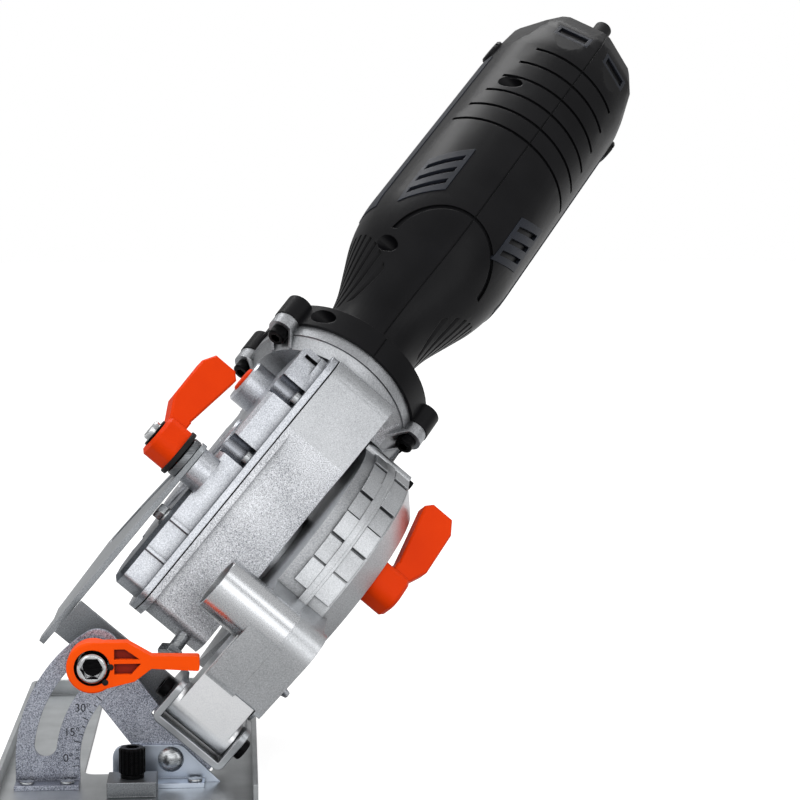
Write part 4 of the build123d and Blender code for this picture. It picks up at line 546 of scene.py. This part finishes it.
def on_pivot_flat(middle, normal):
    place, facing = in_head(middle, normal)
    along = facing.dot(pivot_flat_facing)
    height = place.dot(pivot_flat_facing)
    return along > pivot_flat_along and abs(height - pivot_boss_radius) < pivot_flat_gap


def on_drum(middle, normal):
    return round_about(*in_head(middle, normal), spindle_y, spindle_z, drum_radius)


refinish(pieces["gear_housing"], as_cast_skin_and_painted_shade, on_motor_flange)
refinish(pieces["gear_housing"], hood_casting, on_hood)
refinish(pieces["guard_body"], burnished_aluminium, on_tube)
refinish(pieces["guard_body"], aluminium_painted_highlight, on_pivot_boss)
refinish(pieces["guard_body"], aluminium_painted_highlight, on_pivot_flat)
refinish(pieces["guard_body"], as_cast_skin_and_painted_shade, on_drum)


# The depth plate's cross flange is painted duller and darker than its strip, as painted shade
def on_cross_flange(middle, normal):
    return normal.y < -looks_along


refinish(pieces["depth_plate"], dull_zinc, on_cross_flange)


# The cover's screws stand in half-round pockets, painted darker as shade
def parts_of(node, place):
    """Middles of the separate pieces that one node holds, in the axes of a place."""
    shape = bmesh.new()
    shape.from_mesh(frame["nodes"][node].data)
    bmesh.ops.remove_doubles(shape, verts=shape.verts, dist=weld_distance)
    for vert in shape.verts:
        vert.tag = False
    back = place.inverted()
    middles = []
    for first in shape.verts:
        if first.tag:
            continue
        first.tag = True
        reached = [first]
        for vert in reached:
            for edge in vert.link_edges:
                other = edge.other_vert(vert)
                if not other.tag:
                    other.tag = True
                    reached.append(other)
        points = [back @ vert.co for vert in reached]
        middles.append(sum(points, Vector()) / len(points))
    shape.free()
    return middles


screw_pocket_radius = 5.2
screw_pocket_inward = -0.8
end_face = 0.3
cover_screw_places = parts_of("gear_cover_screws", to_head)


def in_screw_pocket(middle, normal):
    place, facing = in_head(middle, normal)
    if abs(facing.x) > end_face:
        return False
    for screw in cover_screw_places:
        distance, outward = off_axis(place, facing, screw.y, screw.z)
        if abs(distance - screw_pocket_radius) < skin_gap and outward < screw_pocket_inward:
            return True
    return False


refinish(pieces["gear_cover"], screw_pocket_painted_shade, in_screw_pocket)


# Pieces that only the finish adds
added_smooth_within = radians(35.0)


def placed(name, shape, place, material, body):
    """Makes a piece of a shape drawn about the origin in millimetres: moves it and gives it its finish."""
    bmesh.ops.recalc_face_normals(shape, faces=shape.faces)
    bmesh.ops.transform(shape, matrix=place, verts=shape.verts)
    for face in shape.faces:
        face.smooth = True
    mesh = bpy.data.meshes.new(name)
    shape.to_mesh(mesh)
    shape.free()
    mesh.set_sharp_from_angle(angle=added_smooth_within)
    mesh.materials.append(material)
    piece = link(name, mesh)
    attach(piece, body)


def turned_ring(outline):
    """A ring turned about the X axis from an outline of (radius, height along the axis)."""
    shape = bmesh.new()
    corners = [shape.verts.new((height, radius, 0)) for radius, height in outline]
    edges = [shape.edges.new((corners[i - 1], corners[i])) for i in range(len(corners))]
    bmesh.ops.spin(shape, geom=corners + edges, cent=(0, 0, 0), axis=(1, 0, 0), angle=2 * pi, steps=64,
                   use_merge=True)
    return shape


def prism(shape, sides, radius, low, high, edge, place=Matrix.Identity(4)):
    """Adds a bar of some sides along X, its end edges broken by a small round, and moves it to its place."""
    earlier = set(shape.verts)
    turn = Matrix.Rotation(pi / 2, 4, "Y")
    middle = Matrix.Translation(((low + high) / 2, 0, 0))
    made = bmesh.ops.create_cone(shape, cap_ends=True, segments=sides, radius1=radius, radius2=radius,
                                 depth=high - low, matrix=middle @ turn)
    ends = [e for v in made["verts"] for e in v.link_edges if abs(e.verts[0].co.x - e.verts[1].co.x) < edge]
    bmesh.ops.bevel(shape, geom=list(set(ends)), offset=edge, offset_type="OFFSET", segments=2, profile=0.5,
                    affect="EDGES", material=-1, clamp_overlap=True)
    bmesh.ops.transform(shape, matrix=place, verts=[v for v in shape.verts if v not in earlier])


# The depth lever: a black friction washer under its hub, and a black washer under its screw's head
hub_base = span_in("depth_lever", to_head)[1].x
hub_height = 14.0
stud_y = 84.0
stud_z = 14.0
washer_bore = 4.3
washer_outer = 10.9
washer_thick = 2.3
washer_chamfer = 0.3
friction_washer = ((washer_bore, 0.0), (washer_outer - washer_chamfer, 0.0), (washer_outer, -washer_chamfer),
                   (washer_outer, washer_chamfer - washer_thick),
                   (washer_outer - washer_chamfer, -washer_thick), (washer_bore, -washer_thick))
hub_place = to_head @ Matrix.Translation((hub_base, stud_y, stud_z))
placed("depth_lever_friction_washer", turned_ring(friction_washer), hub_place, black_rubber_and_painted_shade,
       body_of("depth_lever"))

screw_washer_thick = 1.0
screw_washer_gap = 0.05


def in_screw_washer(middle, normal):
    place, facing = in_head(middle, normal)
    return hub_base - hub_height - place.x < screw_washer_thick + screw_washer_gap


refinish(pieces["depth_lever_screw"], black_oxide, in_screw_washer)

# A hex screw with its washer on the gear cover's side, which meets the depth plate's edge
cover_side = -64.0
hex_screw_y = 66.0
hex_screw_z = -3.5
hex_screw = bmesh.new()
prism(hex_screw, sides=40, radius=4.6, low=-0.9, high=0.2, edge=0.25)
prism(hex_screw, sides=6, radius=3.9, low=-4.6, high=-0.8, edge=0.4)
hex_screw_place = to_head @ Matrix.Translation((cover_side, hex_screw_y, hex_screw_z))
placed("gear_cover_hex_screw", hex_screw, hex_screw_place, bright_steel, body_of("gear_cover"))

# Cast bearing caps on the gear cover's side
cap_foot = 0.5
cap_thick = 1.6
cap_hole_edge = 0.9
cap_shoulder = 0.6
cap_chamfer = 1.3


def cap_outline(hole, lip, radius):
    """Outline of a thin cap with a hole in its middle; the lip is the chamfer about the hole."""
    return ((hole, cap_foot), (hole, -cap_hole_edge), (hole + lip, -cap_thick),
            (radius - cap_chamfer, -cap_thick), (radius, -cap_shoulder), (radius, cap_foot))


layshaft_low, layshaft_high = span_in("layshaft", to_head)
layshaft_y = (layshaft_low.y + layshaft_high.y) / 2
layshaft_z = (layshaft_low.z + layshaft_high.z) / 2
spindle_cap = cap_outline(hole=2.2, lip=0.7, radius=14.5)
layshaft_cap = cap_outline(hole=1.8, lip=0.6, radius=11.5)
for name, outline, y, z in (("spindle_bearing_cap", spindle_cap, spindle_y, spindle_z),
                            ("layshaft_bearing_cap", layshaft_cap, layshaft_y, layshaft_z)):
    placed("gear_cover_" + name, turned_ring(outline), to_head @ Matrix.Translation((cover_side, y, z)),
           tumbled_aluminium, body_of("gear_cover"))

# A collar that guards the lock button
button_low, button_high = span_in("spindle_lock_button", to_head)
button_y = (button_low.y + button_high.y) / 2
button_z = (button_low.z + button_high.z) / 2
button_radius = (button_high.z - button_low.z) / 2
button_gap = 0.4
collar_outer = 10.6
collar_inner = button_radius + button_gap
collar_lip = 1.6
collar_rim = 1.2
collar_shoulder = 2.1
collar_root = 1.0
collar_base = cover_side + collar_root - button_low.x
inner_chamfer = 0.6
outer_chamfer = 0.8
collar = ((collar_inner, collar_base), (collar_inner, collar_lip),
          (collar_inner + inner_chamfer, collar_rim), (collar_outer - outer_chamfer, collar_rim),
          (collar_outer, collar_shoulder), (collar_outer, collar_base))
collar_place = to_head @ Matrix.Translation((button_low.x, button_y, button_z))
placed("spindle_lock_collar", turned_ring(collar), collar_place, tumbled_aluminium, body_of("gear_cover"))

# A cast tab on the guard's cheek
tab_size = Vector((4.0, 2.4, 6.0))
tab_taper = 0.35
tab_round = 0.5
tab_place = to_head @ Matrix.Translation((18.5, 21.0, 22.5))
tab = bmesh.new()
bmesh.ops.create_cube(tab, size=1.0, matrix=Matrix.Diagonal(tab_size.to_4d()))
bmesh.ops.scale(tab, vec=(1.0, 1.0, tab_taper), verts=[vert for vert in tab.verts if vert.co.x > 0])
bmesh.ops.bevel(tab, geom=tab.edges[:], offset=tab_round, offset_type="OFFSET", segments=2, profile=0.5,
                affect="EDGES", material=-1, clamp_overlap=True)
placed("guard_cheek_tab", tab, tab_place, tumbled_aluminium, body_of("guard_body"))

# Two black discs in the rim of the bevel lever's well: painted shade that stands for two small holes
hole_shade_places = ((7.6, 0.3), (5.3, -6.0))
hole_shade_discs = bmesh.new()
for across, up in hole_shade_places:
    hole_shade_place = Matrix.Translation((across, 0, up)) @ Matrix.Rotation(pi / 2, 4, "Z")
    prism(hole_shade_discs, sides=24, radius=1.3, low=-0.25, high=0.4, edge=0.15, place=hole_shade_place)
well_place = to_world @ Matrix.Translation((nut_x, lever_front, nut_z))
placed("bevel_lever_hole_shade_discs", hole_shade_discs, well_place, black_rubber_and_painted_shade, body_of("bevel_lever"))

# Bevel scale on the quadrant: numbers with their degree signs, long ticks by them and short ones between
quadrant_front = -2.0
mark_thick = 0.12
capital_share = 0.72
number_radius = 42.4
number_height = 3.4
number_lead = 1.5
tick_lead = -3.2
tick_inner = 37.9
tick_long = 2.8
tick_short = 1.4
tick_width = 0.35
scale_end = 45
scale_step = 5
scale_numbers = (0, 15, 30, 45)


def lettering(text, height):
    """A flat word as a mesh, its capitals of this height in millimetres, centred on the origin."""
    curve = bpy.data.curves.new("lettering", "FONT")
    curve.body = text
    curve.align_x = "CENTER"
    curve.align_y = "CENTER"
    curve.size = height / capital_share * mm
    curve.extrude = mark_thick / 2 * mm
    word = link("lettering", curve)
    mesh = bpy.data.meshes.new_from_object(word.evaluated_get(bpy.context.evaluated_depsgraph_get()))
    bpy.data.objects.remove(word)
    bpy.data.curves.remove(curve)
    return mesh


def on_scale(angle, radius):
    """Place on the quadrant's face at an angle up from the left, about the bevel pivot."""
    turn = radians(angle)
    return Vector((-radius * cos(turn), quadrant_front, bevel_axis_height + radius * sin(turn))) * mm


marks = bmesh.new()
upright = Matrix.Rotation(pi / 2, 4, "X")
for value in scale_numbers:
    word = lettering(str(value) + "\N{DEGREE SIGN}", number_height)
    word.transform(Matrix.Translation(on_scale(value + number_lead, number_radius)) @ upright)
    marks.from_mesh(word)
    bpy.data.meshes.remove(word)
for value in range(0, scale_end + scale_step, scale_step):
    length = tick_long if value in scale_numbers else tick_short
    middle = on_scale(value + tick_lead, tick_inner + length / 2)
    turn = Matrix.Rotation(radians(value + tick_lead), 4, "Y")
    size = Matrix.Diagonal((length * mm, mark_thick * mm, tick_width * mm, 1.0))
    bmesh.ops.create_cube(marks, size=1.0, matrix=Matrix.Translation(middle) @ turn @ size)
mark_mesh = bpy.data.meshes.new("bevel_scale_marks")
marks.to_mesh(mark_mesh)
marks.free()
mark_mesh.materials.append(etched_mark)
bevel_scale = link("bevel_scale_marks", mark_mesh)
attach(bevel_scale, body_of("bevel_quadrant"))


# Floor, light and background
def studio_white(name, tones, lift, near, mirror_near, far, mirror_far):
    """Matt studio paper, lit from below: it takes the tool's shadow, and reads white where light falls on it.

    The lift that polished metal mirrors grows from mirror_near to mirror_far between two distances in metres,
    so that the paper round the tool carries a painted shade that only reflections see.
    """
    material, tree, place = new_material(name)
    rays = add(tree, "ShaderNodeLightPath")
    away = add(tree, "ShaderNodeVectorMath", {0: place}, operation="LENGTH").outputs["Value"]
    shade = add(tree, "ShaderNodeMapRange", {"Value": away, "From Min": near, "From Max": far,
                                             "To Min": mirror_near, "To Max": mirror_far}).outputs["Result"]
    mirrored = add(tree, "ShaderNodeMath", {0: rays.outputs["Is Glossy Ray"], 1: shade}, operation="MULTIPLY")
    seen = add(tree, "ShaderNodeMath", {0: rays.outputs["Is Camera Ray"], 1: mirrored.outputs["Value"]},
               operation="MAXIMUM")
    paper = add(tree, "ShaderNodeTexNoise", {"Vector": place, "Scale": per_mm(2.0), "Detail": 2.0})
    colour = add(tree, "ShaderNodeValToRGB", {"Fac": paper.outputs["Fac"]},
                 stops=((0.3, tones[0]), (0.7, tones[1])))
    matt = add(tree, "ShaderNodeBsdfDiffuse", {"Color": colour.outputs["Color"]})
    glow = add(tree, "ShaderNodeEmission", {"Color": linear("#FFFFFF"), "Strength": lift})
    both = add(tree, "ShaderNodeAddShader", {0: matt.outputs["BSDF"], 1: glow.outputs["Emission"]})
    mix = add(tree, "ShaderNodeMixShader", {0: seen.outputs["Value"], 1: matt.outputs["BSDF"],
                                            2: both.outputs["Shader"]})
    add(tree, "ShaderNodeOutputMaterial", {"Surface": mix.outputs["Shader"]})
    return material


floor_half = 6.0
floor_drop = 0.5
floor_mesh = bpy.data.meshes.new("floor")
sheet = bmesh.new()
bmesh.ops.create_grid(sheet, x_segments=1, y_segments=1, size=floor_half)
sheet.to_mesh(floor_mesh)
sheet.free()
# Studio paper: white to the eye with soft shadows, and round the tool a painted shade that only the metal's
# reflections see
floor_mesh.materials.append(studio_white("studio_paper", ("#A6A6A6", "#B0B0B0"), lift=0.82, near=0.1,
                                         mirror_near=0.15, far=0.9, mirror_far=0.8))
floor = link("floor", floor_mesh)
floor.location = (0, 0, -floor_drop * mm)

tool_middle = Vector((0.08, 0.08, 0.16))


def lamp(name, place, size, power):
    """A soft box: a rectangular area lamp turned to the middle of the tool."""
    data = bpy.data.lights.new(name, "AREA")
    data.shape = "RECTANGLE"
    data.size, data.size_y = size
    data.energy = power
    box = link(name, data)
    box.location = place
    box.rotation_euler = (tool_middle - Vector(place)).to_track_quat("-Z", "Y").to_euler()


lamp("key_left", place=(-0.9, -0.9, 1.1), size=(1.6, 1.6), power=9.0)
lamp("fill_right", place=(1.1, -0.6, 0.5), size=(0.5, 1.0), power=3.0)
lamp("front_soft", place=(0.2, -1.7, 0.6), size=(1.8, 0.9), power=8.5)
lamp("top_back", place=(0.1, 0.9, 1.3), size=(1.0, 0.5), power=9.0)

# World: white to the eye, and on the tool a soft light that grows from the horizon to overhead
horizon = -0.1
horizon_light = 0.30
overhead = 0.9
overhead_light = 0.78
world = bpy.data.worlds.new("studio")
scene.world = world
world.use_nodes = True
tree = world.node_tree
tree.nodes.clear()
rays = add(tree, "ShaderNodeLightPath")
seen = add(tree, "ShaderNodeMath", {0: rays.outputs["Is Camera Ray"], 1: rays.outputs["Is Transmission Ray"]},
           operation="MAXIMUM")
direction = add(tree, "ShaderNodeTexCoord").outputs["Generated"]
height = add(tree, "ShaderNodeSeparateXYZ", {"Vector": direction}).outputs["Z"]
sky = add(tree, "ShaderNodeMapRange", {"Value": height, "From Min": horizon, "From Max": overhead,
                                       "To Min": horizon_light, "To Max": overhead_light})
plain = add(tree, "ShaderNodeBackground", {"Color": linear("#FFFFFF"), "Strength": 1.0})
light = add(tree, "ShaderNodeBackground", {"Color": linear("#FFFFFF"), "Strength": sky.outputs["Result"]})
mixed = add(tree, "ShaderNodeMixShader", {0: seen.outputs["Value"], 1: light.outputs["Background"],
                                          2: plain.outputs["Background"]})
add(tree, "ShaderNodeOutputWorld", {"Surface": mixed.outputs["Shader"]})
scene.view_settings.view_transform = "Standard"
